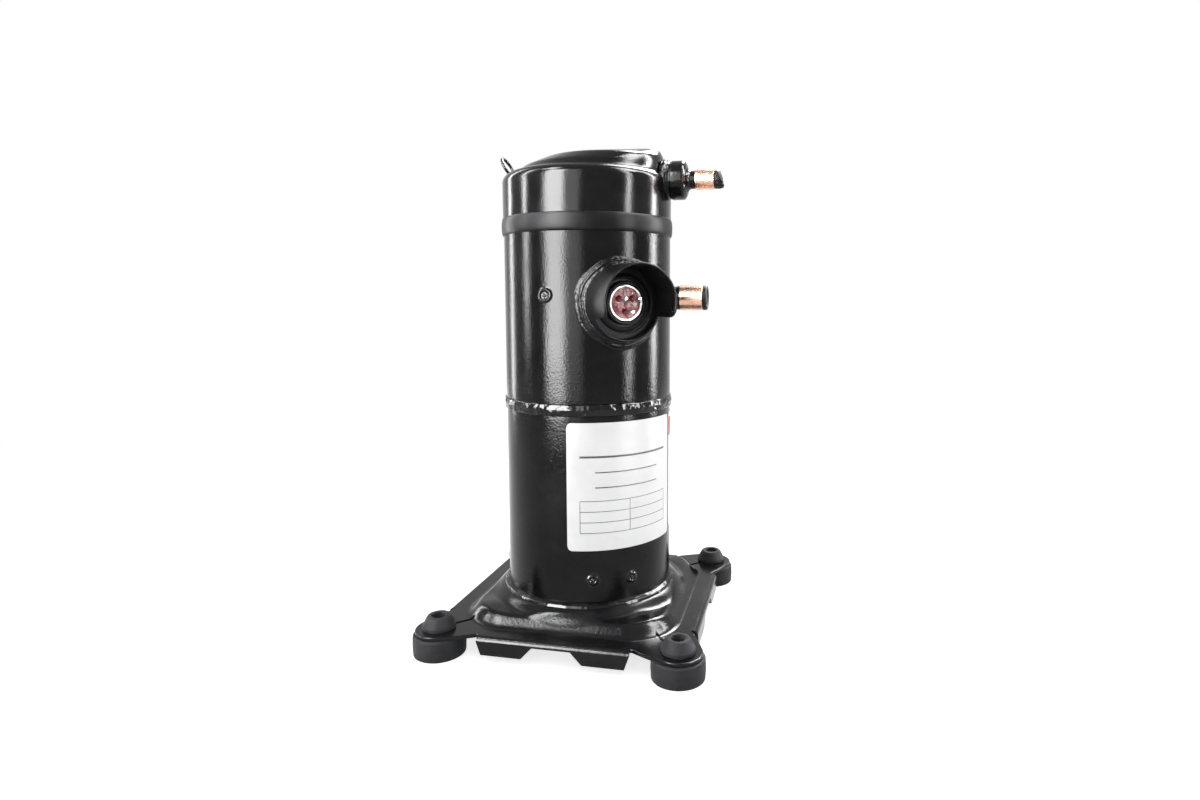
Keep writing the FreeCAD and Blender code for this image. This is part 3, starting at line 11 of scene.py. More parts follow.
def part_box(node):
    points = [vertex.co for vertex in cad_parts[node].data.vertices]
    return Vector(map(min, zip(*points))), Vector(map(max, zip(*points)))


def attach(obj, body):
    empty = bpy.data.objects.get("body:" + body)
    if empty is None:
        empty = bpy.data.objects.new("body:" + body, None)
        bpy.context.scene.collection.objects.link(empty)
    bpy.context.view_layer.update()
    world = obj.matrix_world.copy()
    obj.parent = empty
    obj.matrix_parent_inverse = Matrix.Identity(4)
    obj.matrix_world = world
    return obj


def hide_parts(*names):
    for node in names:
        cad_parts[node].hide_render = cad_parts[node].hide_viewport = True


MM = 0.001
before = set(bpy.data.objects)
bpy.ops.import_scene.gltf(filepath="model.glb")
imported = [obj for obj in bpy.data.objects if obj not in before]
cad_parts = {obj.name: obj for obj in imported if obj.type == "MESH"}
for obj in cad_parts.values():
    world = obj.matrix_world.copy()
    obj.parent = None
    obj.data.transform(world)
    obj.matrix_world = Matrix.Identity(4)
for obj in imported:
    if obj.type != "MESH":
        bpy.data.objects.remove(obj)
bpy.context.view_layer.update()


# ---------- sizes from the frame

def low(node, axis):
    """A node's lowest coordinate on an axis, in millimetres."""
    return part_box(node)[0][axis] / MM


def high(node, axis):
    """A node's highest coordinate on an axis, in millimetres."""
    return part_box(node)[1][axis] / MM


def middle(node, axis):
    """The middle of a node on an axis, in millimetres."""
    return (low(node, axis) + high(node, axis)) / 2


SHELL_RADIUS = high("upper_shell", 0)
SHELL_BOTTOM = low("lower_shell", 2)
MID_WELD_Z = high("lower_shell", 2)
SHELL_TOP = high("upper_shell", 2)
CAP_RADIUS = high("top_cap", 0)
CAP_FOOT = low("top_cap", 2)
CROWN_TOP = high("top_cap", 2)
FLANGE_BOTTOM = low("base_plate", 2)
FOOT_PLACE = middle("grommet_right_rear", 0)
FOOT_RADIUS = high("grommet_right_rear", 0) - FOOT_PLACE
FOOT_TOP = high("grommet_right_rear", 2)
EAR_RADIUS = high("base_plate", 0) - FOOT_PLACE
DOME_TOP = high("base_plate", 2)
SUCTION_Z = middle("suction_tube", 2)
SUCTION_RADIUS = high("suction_tube", 2) - SUCTION_Z
DISCHARGE_Z = middle("discharge_tube", 2)
DISCHARGE_RADIUS = high("discharge_tube", 2) - DISCHARGE_Z
FITTING_RADIUS = high("discharge_fitting", 2) - DISCHARGE_Z
TERMINAL_Z = middle("terminal_fence", 2)
FENCE_RADIUS = high("terminal_fence", 2) - TERMINAL_Z

# Sizes that no node's box gives.
SHELL_WALL = 3.0
CAP_TOP = 379.5
CAP_CORNER = 8.0
PLATE_TOP = 20.0
PLATE_WALL = 3.0
PLATE_EDGE = 100.0
PLATE_STRAIGHT = 62.0
FLANGE_REACH = 105.0
FLANGE_HALF = 60.0
NOTCH_TOP = 15.5
PILLOW_HALF = 90.0
PILLOW_CORNER = 42.0
PILLOW_RISE = 8.5
PILLOW_SLOPE = 13
SLOT_HALF = 1.5
SLOT_END = 107.0
FOOT_HOLE = 11.3
CUTTER_LEVELS = (8.0, 50.0)
TERMINAL_AZIMUTH = math.radians(-51.0)
UPPER_WELD_AZIMUTH = -101.5
LOWER_WELD_AZIMUTH = -58.3
LOWER_WELD_SPREAD = 13.4
FRONT_LABEL_START = math.radians(-88.0)
SIDE_LABEL_SPAN = (math.radians(-2.0), math.radians(60.0))
FENCE_START = 62.0
FENCE_WALL = 2.0
HOOD_REACH = 102.1
COLLAR_REACH = 77.2
PIN_CIRCLE = 6.6
# A label's sheet: gap to the shell, thickness and corner. Its print: gap and thickness.
SHEET = (0.08, 0.3, 4.0)
PRINT = (0.36, 0.05)


# ---------- mesh helpers

def placed(name, data):
    """A new object in the scene."""
    thing = bpy.data.objects.new(name, data)
    bpy.context.collection.objects.link(thing)
    return thing


def finish_piece(name, mesh, finish, stands_for=(), body="housing"):
    """Add a mesh as a smooth piece that rides on a body and stands for CAD nodes."""
    piece = placed(name, mesh)
    mesh.materials.append(paints[finish])
    mesh.shade_smooth()
    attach(piece, body)
    if stands_for:
        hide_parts(*stands_for)
    return piece


def grid_mesh(name, points, wrap_rows=False, wrap_columns=False):
    """A quad mesh through an array of points, in millimetres."""
    rows, columns = points.shape[:2]
    index = np.arange(rows * columns).reshape(rows, columns)
    if wrap_rows:
        index = np.vstack([index, index[:1]])
    if wrap_columns:
        index = np.hstack([index, index[:, :1]])
    quads = np.stack([index[:-1, :-1], index[:-1, 1:], index[1:, 1:], index[1:, :-1]], -1)
    mesh = bpy.data.meshes.new(name)
    mesh.from_pydata((points.reshape(-1, 3) * MM).tolist(), [], quads.reshape(-1, 4).tolist())
    mesh.validate()
    mesh.update()
    mend(mesh)
    return mesh


def mend(mesh, fill=False):
    """Merge doubled points, close open ends if asked, and turn the normals outwards."""
    work = bmesh.new()
    work.from_mesh(mesh)
    bmesh.ops.remove_doubles(work, verts=work.verts, dist=1e-6)
    if fill:
        edges = [edge for edge in work.edges if edge.is_boundary]
        bmesh.ops.holes_fill(work, edges=edges, sides=0)
    bmesh.ops.recalc_face_normals(work, faces=work.faces)
    work.to_mesh(mesh)
    work.free()


def softened(corners, closed=True, steps=6):
    """A profile whose corners (radius, along, rounding) are turned into arcs."""
    path = []
    count = len(corners)
    for number, (x, y, rounding) in enumerate(corners):
        here = np.array([x, y], float)
        ends = not closed and number in (0, count - 1)
        if rounding <= 0 or ends:
            path.append(here)
            continue
        before = np.array(corners[number - 1][:2], float) - here
        after = np.array(corners[(number + 1) % count][:2], float) - here
        before /= np.linalg.norm(before)
        after /= np.linalg.norm(after)
        half = math.acos(max(-1, min(1, float(before @ after)))) / 2
        reach = rounding / math.tan(half)
        hub = here + (before + after) / np.linalg.norm(before + after) * rounding / math.sin(half)
        start = here + before * reach - hub
        end = here + after * reach - hub
        for step in range(steps + 1):
            share = step / steps
            ray = start * (1 - share) + end * share
            path.append(hub + ray / np.linalg.norm(ray) * rounding)
    return np.array(path)


def upright(radius, along, angle):
    """A point of a turned piece about Z."""
    return np.stack([radius * np.cos(angle), radius * np.sin(angle), along], -1)


def sideways(centre_z, azimuth=0.0):
    """A mapping for a piece turned about a level ray at an azimuth."""
    def mapping(radius, along, angle):
        aside = radius * np.cos(angle)
        lift = radius * np.sin(angle) + centre_z
        x = along * math.cos(azimuth) - aside * math.sin(azimuth)
        y = along * math.sin(azimuth) + aside * math.cos(azimuth)
        return np.stack([x, y, lift], -1)
    return mapping


# The terminal is turned about a level ray through the shell.
TERMINAL_AXIS = sideways(TERMINAL_Z, TERMINAL_AZIMUTH)


def dense(path, longest):
    """Add points on a closed path's long runs, so that noise can move them."""
    result = []
    for here, after in zip(path, np.roll(path, -1, axis=0)):
        pieces = max(1, int(np.linalg.norm(after - here) / longest))
        result += [here + (after - here) * step / pieces for step in range(pieces)]
    return np.array(result)


def turned(name, corners, mapping=upright, segments=160, longest=None, shift=None):
    """A closed ring turned from a profile of (radius, along, rounding) corners."""
    path = softened(corners)
    if longest:
        path = dense(path, longest)
    angle = full_turn(segments)
    radius, turn = np.meshgrid(path[:, 0], angle, indexing="ij")
    along = np.repeat(path[:, 1:2], segments, axis=1)
    points = mapping(np.maximum(radius, 0.0), along, turn)
    if shift is not None:
        points = points + shift(points, radius, along, turn)
    return grid_mesh(name, points, wrap_rows=True, wrap_columns=True)


def noise_field(points, scale, seed=0.0):
    """Smooth noise from -1 to 1 at points in millimetres, for features of that size."""
    flat = points.reshape(-1, 3) / scale + seed
    values = [noise.noise(Vector(point)) for point in flat]
    return np.array(values).reshape(points.shape[:-1])


def full_turn(count):
    """Angles evenly round a circle."""
    return np.linspace(0, 2 * math.pi, count, endpoint=False)


def smooth(value):
    """A smooth step of a value from 0 to 1."""
    value = np.clip(value, 0, 1)
    return value * value * (3 - 2 * value)


def moved(place, depth=0.0, scale=1.0):
    """A shift to a place, roughened by noise of a depth and a scale."""
    def shift(points, radius, along, turn):
        return place + depth * noise_field(points + place, scale)[..., None]
    return shift


def spattered(depth):
    """The uneven heaping of a small weld bead."""
    def shift(points, radius, along, turn):
        return depth * np.stack([noise_field(points, 2.2), noise_field(points, 2.6, 4),
                                 noise_field(points, 3.0, 8)], -1)
    return shift


def joined(name, meshes):
    """One mesh from several."""
    work = bmesh.new()
    for mesh in meshes:
        work.from_mesh(mesh)
    result = bpy.data.meshes.new(name)
    work.to_mesh(result)
    work.free()
    return result


# ---------- materials

def new_material(name):
    """A material with its node tree and its surface shader."""
    material = bpy.data.materials.new(name)
    material.use_nodes = True
    tree = material.node_tree
    return material, tree, tree.nodes["Principled BSDF"]


def texture(tree, scale, detail=2.0, roughness=0.5):
    """The value of a noise texture in the object's own metres."""
    place = tree.nodes.new("ShaderNodeTexCoord")
    node = tree.nodes.new("ShaderNodeTexNoise")
    node.inputs["Scale"].default_value = scale
    node.inputs["Detail"].default_value = detail
    node.inputs["Roughness"].default_value = roughness
    tree.links.new(place.outputs["Object"], node.inputs["Vector"])
    return node.outputs["Fac"]


def ranged(tree, source, low_value, high_value, start=0.3, end=0.7):
    """Map a texture's output between two values."""
    node = tree.nodes.new("ShaderNodeMapRange")
    node.inputs["From Min"].default_value = start
    node.inputs["From Max"].default_value = end
    node.inputs["To Min"].default_value = low_value
    node.inputs["To Max"].default_value = high_value
    tree.links.new(source, node.inputs["Value"])
    return node.outputs["Result"]


def blended(tree, factor, first, second):
    """A colour mixed from two by a factor."""
    node = tree.nodes.new("ShaderNodeMix")
    node.data_type = "RGBA"
    node.inputs["A"].default_value = (*first, 1)
    node.inputs["B"].default_value = (*second, 1)
    tree.links.new(factor, node.inputs["Factor"])
    return node.outputs["Result"]


def bumped(tree, shader, layers):
    """Chain bump layers of (height output, depth in millimetres) into the shader."""
    normal = None
    for height, depth in layers:
        node = tree.nodes.new("ShaderNodeBump")
        node.inputs["Strength"].default_value = 1.0
        node.inputs["Distance"].default_value = depth * MM
        tree.links.new(height, node.inputs["Height"])
        if normal:
            tree.links.new(normal, node.inputs["Normal"])
        normal = node.outputs["Normal"]
    tree.links.new(normal, shader.inputs["Normal"])


def coloured(tree, shader, patches, dark, light, gloss, wear=None):
    """Colour that follows one texture, and roughness that follows it or another."""
    colour = blended(tree, ranged(tree, patches, 0, 1), dark, light)
    tree.links.new(colour, shader.inputs["Base Color"])
    tree.links.new(ranged(tree, wear or patches, *gloss), shader.inputs["Roughness"])


def paint(name, dark=(0.004, 0.004, 0.004), light=(0.010, 0.010, 0.011),
          gloss=(0.09, 0.17), peel=0.13, peel_scale=600, wave=0.35, shine=0.101):
    """Black paint with orange peel, long waves and patches of duller gloss."""
    material, tree, shader = new_material(name)
    patches = texture(tree, 35, 4, 0.6)
    grain = texture(tree, peel_scale, 2, 0.6)
    long_wave = texture(tree, 26, 1, 0.4)
    coloured(tree, shader, patches, dark, light, gloss)
    bumped(tree, shader, [(long_wave, wave), (grain, peel)])
    shader.inputs["Specular IOR Level"].default_value = shine
    return material


def metal(name, dark, light, gloss, grain_scale=400, depth=0.02, metallic=1.0):
    """Bare metal with fine grain and stained patches."""
    material, tree, shader = new_material(name)
    grain = texture(tree, grain_scale, 3, 0.7)
    coloured(tree, shader, texture(tree, 90, 5, 0.65), dark, light, gloss, grain)
    shader.inputs["Metallic"].default_value = metallic
    bumped(tree, shader, [(grain, depth)])
    return material


RUBBER_SHINE = 0.108


def rubber(name, dark, light, gloss=(0.55, 0.75)):
    """Moulded rubber with a fine matt grain and dusty patches."""
    material, tree, shader = new_material(name)
    coloured(tree, shader, texture(tree, 120, 5, 0.6), dark, light, gloss)
    bumped(tree, shader, [(texture(tree, 1400, 3, 0.6), 0.03)])
    shader.inputs["Specular IOR Level"].default_value = RUBBER_SHINE
    return material


def film(name, dark, light, gloss=(0.30, 0.42)):
    """Printed film, nearly even, with the faint waves of the paint under it."""
    material, tree, shader = new_material(name)
    waves = texture(tree, 60, 3, 0.5)
    coloured(tree, shader, waves, dark, light, gloss)
    bumped(tree, shader, [(waves, 0.05)])
    return material


def sealing_compound(name):
    """Glossy dark red compound with darker cells and pale flecks."""
    material, tree, shader = new_material(name)
    cells = texture(tree, 260, 5, 0.7)
    flecks = texture(tree, 700, 4, 0.7)
    colour = blended(tree, ranged(tree, cells, 0, 1, 0.38, 0.62),
                     (0.040, 0.001, 0.002), (0.33, 0.010, 0.017))
    tree.links.new(colour, shader.inputs["Base Color"])
    tree.links.new(ranged(tree, flecks, 0.08, 0.35), shader.inputs["Roughness"])
    bumped(tree, shader, [(cells, 0.7), (flecks, 0.1)])
    shader.inputs["Coat Weight"].default_value = 0.12
    shader.inputs["Coat Roughness"].default_value = 0.08
    return material


def make_materials():
    """Every finish on the part, by name."""
    return {
        "shell": paint("black_gloss_paint"),
        "cap": paint("cap_paint", gloss=(0.10, 0.18), peel=0.07, wave=0.9, shine=0.13),
        "band": paint("band_paint", gloss=(0.30, 0.44), peel=0.05, wave=0.8, shine=0.0864),
        "plate": paint("plate_paint", (0.006, 0.006, 0.007), (0.014, 0.014, 0.015),
                       gloss=(0.10, 0.20), peel=0.12, wave=0.5, shine=0.13),
        "weld": paint("weld_paint", gloss=(0.08, 0.2), peel=0.03, peel_scale=700, wave=0.3,
                      shine=0.18),
        "terminal_weld": paint("terminal_weld_paint", gloss=(0.12, 0.24), peel=0.35,
                               wave=0.8, shine=0.122),
        "dark_paint": paint("hood_paint", gloss=(0.26, 0.40), peel=0.08, shine=0.0792),
        "foot_rubber": rubber("foot_rubber", (0.009, 0.009, 0.010), (0.018, 0.018, 0.020)),
        "plug_rubber": rubber("plug_rubber", (0.008, 0.008, 0.008), (0.022, 0.022, 0.022),
                              (0.35, 0.6)),
        "copper": metal("drawn_copper", (0.44, 0.25, 0.17), (0.66, 0.42, 0.31), (0.22, 0.34)),
        "bright": metal("bright_steel", (0.60, 0.60, 0.58), (0.86, 0.86, 0.84), (0.10, 0.28)),
        "solder": metal("pale_rim_metal", (0.60, 0.58, 0.55), (0.88, 0.86, 0.82), (0.25, 0.45),
                        300, 0.12),
        "seal": sealing_compound("sealing_compound"),
        "label": film("label_film", (0.86, 0.862, 0.865), (0.91, 0.91, 0.91)),
        "label_red": film("label_red_ink", (0.42, 0.03, 0.025), (0.52, 0.045, 0.035)),
        "ink": film("label_ink", (0.012, 0.012, 0.013), (0.03, 0.03, 0.032), (0.35, 0.5)),
        "cast_iron": metal("machined_iron", (0.12, 0.12, 0.12), (0.26, 0.26, 0.27),
                           (0.35, 0.6), 500, 0.05, 0.8),
        "ground": metal("ground_steel", (0.42, 0.42, 0.42), (0.62, 0.62, 0.61), (0.16, 0.34)),
        "core": metal("stacked_steel", (0.16, 0.17, 0.19), (0.30, 0.31, 0.33), (0.3, 0.5)),
        "aluminium": metal("cast_aluminium", (0.62, 0.63, 0.64), (0.80, 0.81, 0.82),
                           (0.28, 0.48), 350, 0.05),
        "winding": metal("varnished_wire", (0.30, 0.09, 0.02), (0.58, 0.22, 0.07),
                         (0.22, 0.4), 700, 0.2, 0.6),
        "bronze": metal("bearing_bronze", (0.42, 0.28, 0.11), (0.62, 0.46, 0.22), (0.2, 0.38)),
        "polymer": rubber("filled_polymer", (0.05, 0.05, 0.055), (0.1, 0.1, 0.105), (0.4, 0.6)),
    }


paints = make_materials()


# ---------- shell

def shell_tube(name, bottom, top, node, closed_bottom=False):
    """A shell tube with a fine mesh, or a cup if its bottom is closed."""
    inner = SHELL_RADIUS - SHELL_WALL
    if closed_bottom:
        corners = [(0, bottom, 0), (SHELL_RADIUS, bottom, 14), (SHELL_RADIUS, top, 0.8),
                   (inner, top, 0.3), (inner, bottom + SHELL_WALL, 11),
                   (0, bottom + SHELL_WALL, 0)]
    else:
        corners = [(inner, bottom, 0.3), (SHELL_RADIUS, bottom, 0.8),
                   (SHELL_RADIUS, top, 0.5), (inner, top, 0.3)]
    mesh = turned(name, corners, segments=256, longest=8)
    finish_piece(name, mesh, "shell", (node,))


def bead_shift(strength, ripple, seed):
    """Uneven heaping of a weld bead: overlapping ripples and lumps."""
    def shift(points, radius, along, turn):
        lumps = noise_field(points, 9.0, seed) * 0.6 + noise_field(points, 3.0, seed + 7) * 0.4
        scales = np.sin(turn * SHELL_RADIUS / ripple + 2.0 * noise_field(points, 14.0, seed + 3))
        outward = strength * (lumps + 0.22 * scales)
        outward *= smooth((radius - SHELL_RADIUS) / 0.9)
        lift = strength * 0.8 * noise_field(points, 11.0, seed + 5)
        lift *= smooth((radius - SHELL_RADIUS) / 0.9)
        return np.stack([outward * np.cos(turn), outward * np.sin(turn), lift], -1)
    return shift


def build_shell():
    """The two shells and their beads."""
    shell_tube("lower_shell_skin", SHELL_BOTTOM, MID_WELD_Z, "lower_shell", True)
    shell_tube("upper_shell_skin", MID_WELD_Z, SHELL_TOP, "upper_shell")
    inside = SHELL_RADIUS - 0.4
    bulge = SHELL_RADIUS + 1.5
    bead = turned("mid_bead", [
        (inside, MID_WELD_Z - 5.2, 0), (bulge - 0.5, MID_WELD_Z - 4.0, 1.2),
        (bulge, MID_WELD_Z + 0.5, 2.5), (bulge - 0.5, MID_WELD_Z + 4.2, 1.2),
        (inside, MID_WELD_Z + 5.4, 0)],
        segments=720, longest=0.7, shift=bead_shift(0.8, 2.2, 1.0))
    finish_piece("mid_bead", bead, "weld", ("mid_weld",))

    centre = middle("cap_weld", 2) - 0.6
    half = (high("cap_weld", 2) - low("cap_weld", 2)) / 2 - 0.7
    angles = np.linspace(-math.pi / 2, math.pi / 2, 25)
    bulges = [(SHELL_RADIUS - 0.3 + 2.1 * math.cos(a) ** 0.55, centre + half * math.sin(a), 0)
              for a in angles[1:-1]]
    ring = turned("cap_band", [(inside, centre - half, 0), *bulges, (inside, centre + half, 0)],
                  segments=256)
    finish_piece("cap_band", ring, "band", ("cap_weld",))

    foot = DOME_TOP
    bead = turned("base_bead", [
        (inside, foot - 1.5, 0), (SHELL_RADIUS + 4.4, foot - 0.8, 0.6),
        (SHELL_RADIUS + 3.6, foot + 1.6, 1.2), (SHELL_RADIUS + 1.2, foot + 3.0, 1.2),
        (inside, foot + 3.4, 0)],
        segments=720, longest=0.7, shift=bead_shift(0.45, 2.6, 11.0))
    finish_piece("base_bead", bead, "weld", ("base_weld",))


def crater(azimuth, height, seed, ring=4.6, rise=1.25):
    """A plug weld: a raised rim round a pit, laid on the shell."""
    radii = np.linspace(0.02, 8.0, 40)
    turns = full_turn(64)
    radius, turn = np.meshgrid(radii, turns, indexing="ij")
    aside = radius * np.cos(turn)
    lift = radius * np.sin(turn)
    wobble = 1 + 0.05 * np.sin(2 * turn + seed) + 0.03 * np.sin(3 * turn + 2 * seed)
    rim = np.exp(-((radius / wobble - ring) / 1.1) ** 2) * rise
    pit = np.where(radius < ring, 0.12, 0.0) + 0.45 * np.exp(-((radius - 0.7) / 0.6) ** 2)
    skirt = -0.25 * smooth((radius - 6.2) / 1.6)
    depth = SHELL_RADIUS + rim + pit + skirt
    angle = azimuth + aside / SHELL_RADIUS
    points = np.stack([depth * np.cos(angle), depth * np.sin(angle), height + lift], -1)
    rough = noise_field(points, 1.9, seed) * 0.16 * smooth((7 - radius) / 3)
    points += np.stack([rough * np.cos(angle), rough * np.sin(angle), 0 * rough], -1)
    return grid_mesh("crater", points, wrap_columns=True)


def build_plug_welds():
    """Plug welds where the inner housings are welded through the shell."""
    upper_z = middle("upper_plug_welds", 2)
    upper = [crater(math.radians(UPPER_WELD_AZIMUTH + 120 * third), upper_z, third + 1.0)
             for third in range(3)]
    finish_piece("upper_craters", joined("upper_craters", upper), "weld", ("upper_plug_welds",))
    lower_z = middle("lower_plug_welds", 2)
    lower = [crater(math.radians(LOWER_WELD_AZIMUTH + 120 * third + side * LOWER_WELD_SPREAD),
                    lower_z + side * -0.9, third + 4.0 + side, 3.2, 0.8)
             for third in range(3) for side in (-1, 1)]
    finish_piece("lower_craters", joined("lower_craters", lower), "weld", ("lower_plug_welds",))


# ---------- cap

CROWN_RISE = CROWN_TOP - CAP_TOP
# Level over the cap's flat top, shift along X and radius of the crown's sections.
CROWN_SECTIONS = np.array([
    (-5.0, 1.5, 65.0),
    (0.0, 3.0, 63.0),
    (0.26 * CROWN_RISE, 6.5, 59.5),
    (0.62 * CROWN_RISE, 15.2, 50.2),
    (0.81 * CROWN_RISE, 33.0, 31.0),
    (CROWN_RISE, 50.0, 12.0)])


def crown_height(x, y):
    """Height of the lopsided crown over the cap's flat top, in millimetres."""
    levels = np.linspace(CROWN_SECTIONS[0, 0], CROWN_RISE, 160)
    shifts = np.interp(levels, CROWN_SECTIONS[:, 0], CROWN_SECTIONS[:, 1])
    radii = np.interp(levels, CROWN_SECTIONS[:, 0], CROWN_SECTIONS[:, 2])
    result = np.full(x.shape, -40.0)
    for level, shift, radius in zip(levels, shifts, radii):
        inside = radius - np.hypot(x - shift, y)
        result = np.where(inside > 0, np.maximum(result, level), result)
    return result


def cap_profile():
    """Radius and height along the cap's skirt, shoulder and flat top."""
    path = [(CAP_RADIUS, CAP_FOOT + share * (CAP_TOP - CAP_CORNER - CAP_FOOT))
            for share in np.linspace(0, 1, 14)]
    corner = (CAP_RADIUS - CAP_CORNER, CAP_TOP - CAP_CORNER)
    for angle in np.linspace(0, math.pi / 2, 22)[1:]:
        path.append((corner[0] + CAP_CORNER * math.cos(angle),
                     corner[1] + CAP_CORNER * math.sin(angle)))
    flat = corner[0]
    path += [(flat * share, CAP_TOP) for share in np.linspace(1, 0, 60)[1:]]
    return np.array(path)


def build_cap():
    """The cap, as one smooth sheet with its crown and a lip turned in at its foot."""
    path = cap_profile()
    turns = full_turn(288)
    radius, turn = np.meshgrid(path[:, 0], turns, indexing="ij")
    base = np.repeat(path[:, 1:2], len(turns), axis=1)
    x = radius * np.cos(turn)
    y = radius * np.sin(turn)
    crown = CAP_TOP + crown_height(x, y)
    gap = 2.0
    blend = np.clip(0.5 + 0.5 * (crown - base) / gap, 0, 1)
    top = base * (1 - blend) + crown * blend + gap * blend * (1 - blend) * 0.5
    top = np.where(crown < base - gap, base, top)
    for _ in range(5):
        around = (np.roll(top, 1, axis=1) + np.roll(top, -1, axis=1)) / 2
        inner = top.copy()
        inner[1:-1] = (top[:-2] + top[2:]) / 2
        weight = smooth((base - (CAP_TOP - CAP_CORNER)) / 4) * 0.5
        top = top * (1 - weight) + (around + inner) / 2 * weight
    top = np.minimum(top, CROWN_TOP)
    top[-1] = top[-2].mean()
    outer = np.stack([x, y, top], -1)
    lip = np.stack([x[:1] * 0.955, y[:1] * 0.955, top[:1]], -1)
    points = np.concatenate([lip, outer])
    mesh = grid_mesh("cap_skin", points, wrap_columns=True)
    finish_piece("cap_skin", mesh, "cap", ("top_cap",))


def build_lifting_ring():
    """The wire ring, a little uneven, with a weld at its foot."""
    box_low, box_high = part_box("lifting_ring")
    centre = np.array([(a + b) / 2 / MM for a, b in zip(box_low, box_high)])
    centre += np.array([0.9, 0.0, 1.6])
    lean = math.radians(30)
    up = np.array([-math.sin(lean), 0, math.cos(lean)])
    side = np.array([0.0, 1.0, 0.0])
    facing = np.cross(side, up)
    turns = full_turn(96)
    rounds = full_turn(20)
    turn, around = np.meshgrid(turns, rounds, indexing="ij")
    ring = 9.1 + 0.25 * np.sin(2 * turn + 0.6)
    wire = 1.35
    reach = ring + wire * np.cos(around)
    points = (centre + reach[..., None] * (np.cos(turn)[..., None] * side
                                           + np.sin(turn)[..., None] * up)
              + wire * np.sin(around)[..., None] * facing)
    mesh = grid_mesh("lifting_loop", points, wrap_rows=True, wrap_columns=True)
    finish_piece("lifting_loop", mesh, "weld", ("lifting_ring",))
    foot = centre - up * 10.8
    lat = np.linspace(0.05, math.pi - 0.05, 24)
    around, polar = np.meshgrid(full_turn(40), lat, indexing="ij")
    blob = np.stack([1.7 * np.sin(polar) * np.cos(around), 3.6 * np.sin(polar) * np.sin(around),
                     1.9 * np.cos(polar)], -1)
    blob += foot + noise_field(blob + foot, 1.5)[..., None] * 0.25
    mesh = grid_mesh("lifting_loop_weld", blob, wrap_rows=True)
    finish_piece("lifting_loop_weld", mesh, "weld")


# ---------- base plate

def outline_radius(turns):
    """Distance from the centre to the plate's edge at each azimuth."""
    corner = np.array([FOOT_PLACE, FOOT_PLACE])
    near = np.array([PLATE_STRAIGHT, PLATE_EDGE])
    offset = near - corner
    square = offset @ offset
    run = math.sqrt(square - EAR_RADIUS ** 2)
    across = np.array([-offset[1], offset[0]])
    tangent = (EAR_RADIUS ** 2 * offset - EAR_RADIUS * run * across) / square
    start = math.atan2(tangent[1], tangent[0])
    sweep = start - math.pi / 4
    ear = [corner + EAR_RADIUS * np.array([math.cos(angle), math.sin(angle)])
           for angle in np.linspace(start, start - 2 * sweep, 60)]
    straight = np.linspace(0, PLATE_STRAIGHT, 40)
    points = np.array([(run, PLATE_EDGE) for run in straight] + ear
                      + [(PLATE_EDGE, run) for run in straight[::-1]])
    angles = np.arctan2(points[:, 1], points[:, 0])
    order = np.argsort(angles)
    quarter = np.mod(turns, math.pi / 2)
    return np.interp(quarter, angles[order], np.hypot(points[:, 0], points[:, 1])[order])


def plate_height(x, y):
    """Height of the plate's upper face: flat rim, raised pillow and collar."""
    over_x = np.abs(x) - (PILLOW_HALF - PILLOW_CORNER)
    over_y = np.abs(y) - (PILLOW_HALF - PILLOW_CORNER)
    outside = np.hypot(np.maximum(over_x, 0), np.maximum(over_y, 0))
    inside = np.minimum(np.maximum(over_x, over_y), 0)
    rise = smooth((PILLOW_CORNER - outside - inside) / PILLOW_SLOPE)
    reach = np.hypot(x, y)
    collar = (DOME_TOP - PLATE_TOP - PILLOW_RISE) * smooth((85 - reach) / 13)
    ridge = 1.6 * smooth((reach - 74) / 14) * np.exp(-(np.abs(np.abs(x) - np.abs(y)) / 22) ** 2)
    return PLATE_TOP + PILLOW_RISE * rise + collar + ridge * rise


def plate_body():
    """The plate's sheet, with rounded edges, from the shell out to its outline."""
    turns = full_turn(960)
    edge = outline_radius(turns)
    shares = np.linspace(0, 1, 70)
    share, turn = np.meshgrid(shares, turns, indexing="ij")
    inner = SHELL_RADIUS + 0.2
    round_edge = 0.8
    radius = inner + share * (edge - round_edge - inner)
    x = radius * np.cos(turn)
    y = radius * np.sin(turn)
    upper = np.stack([x, y, plate_height(x, y)], -1)
    lower = np.stack([x, y, plate_height(x, y) - PLATE_WALL], -1)
    rim = []
    for angle in np.linspace(math.pi / 2, -math.pi / 2, 9)[1:-1]:
        out = edge - round_edge + round_edge * math.cos(angle)
        level = PLATE_TOP - round_edge + round_edge * math.sin(angle)
        if angle < 0:
            level = PLATE_TOP - PLATE_WALL + round_edge + round_edge * math.sin(angle)
        rim.append(np.stack([out * np.cos(turns), out * np.sin(turns),
                             np.full_like(turns, level)], -1))
    points = np.concatenate([upper, np.array(rim), lower[::-1]])
    return grid_mesh("plate_body", points, wrap_rows=True, wrap_columns=True)


def flange_bottom(x):
    """Lower edge of a flange: a trapezoid notch between two tabs."""
    return np.interp(np.abs(x), [0, 15, 24, FLANGE_HALF],
                     [NOTCH_TOP, NOTCH_TOP, FLANGE_BOTTOM, FLANGE_BOTTOM])


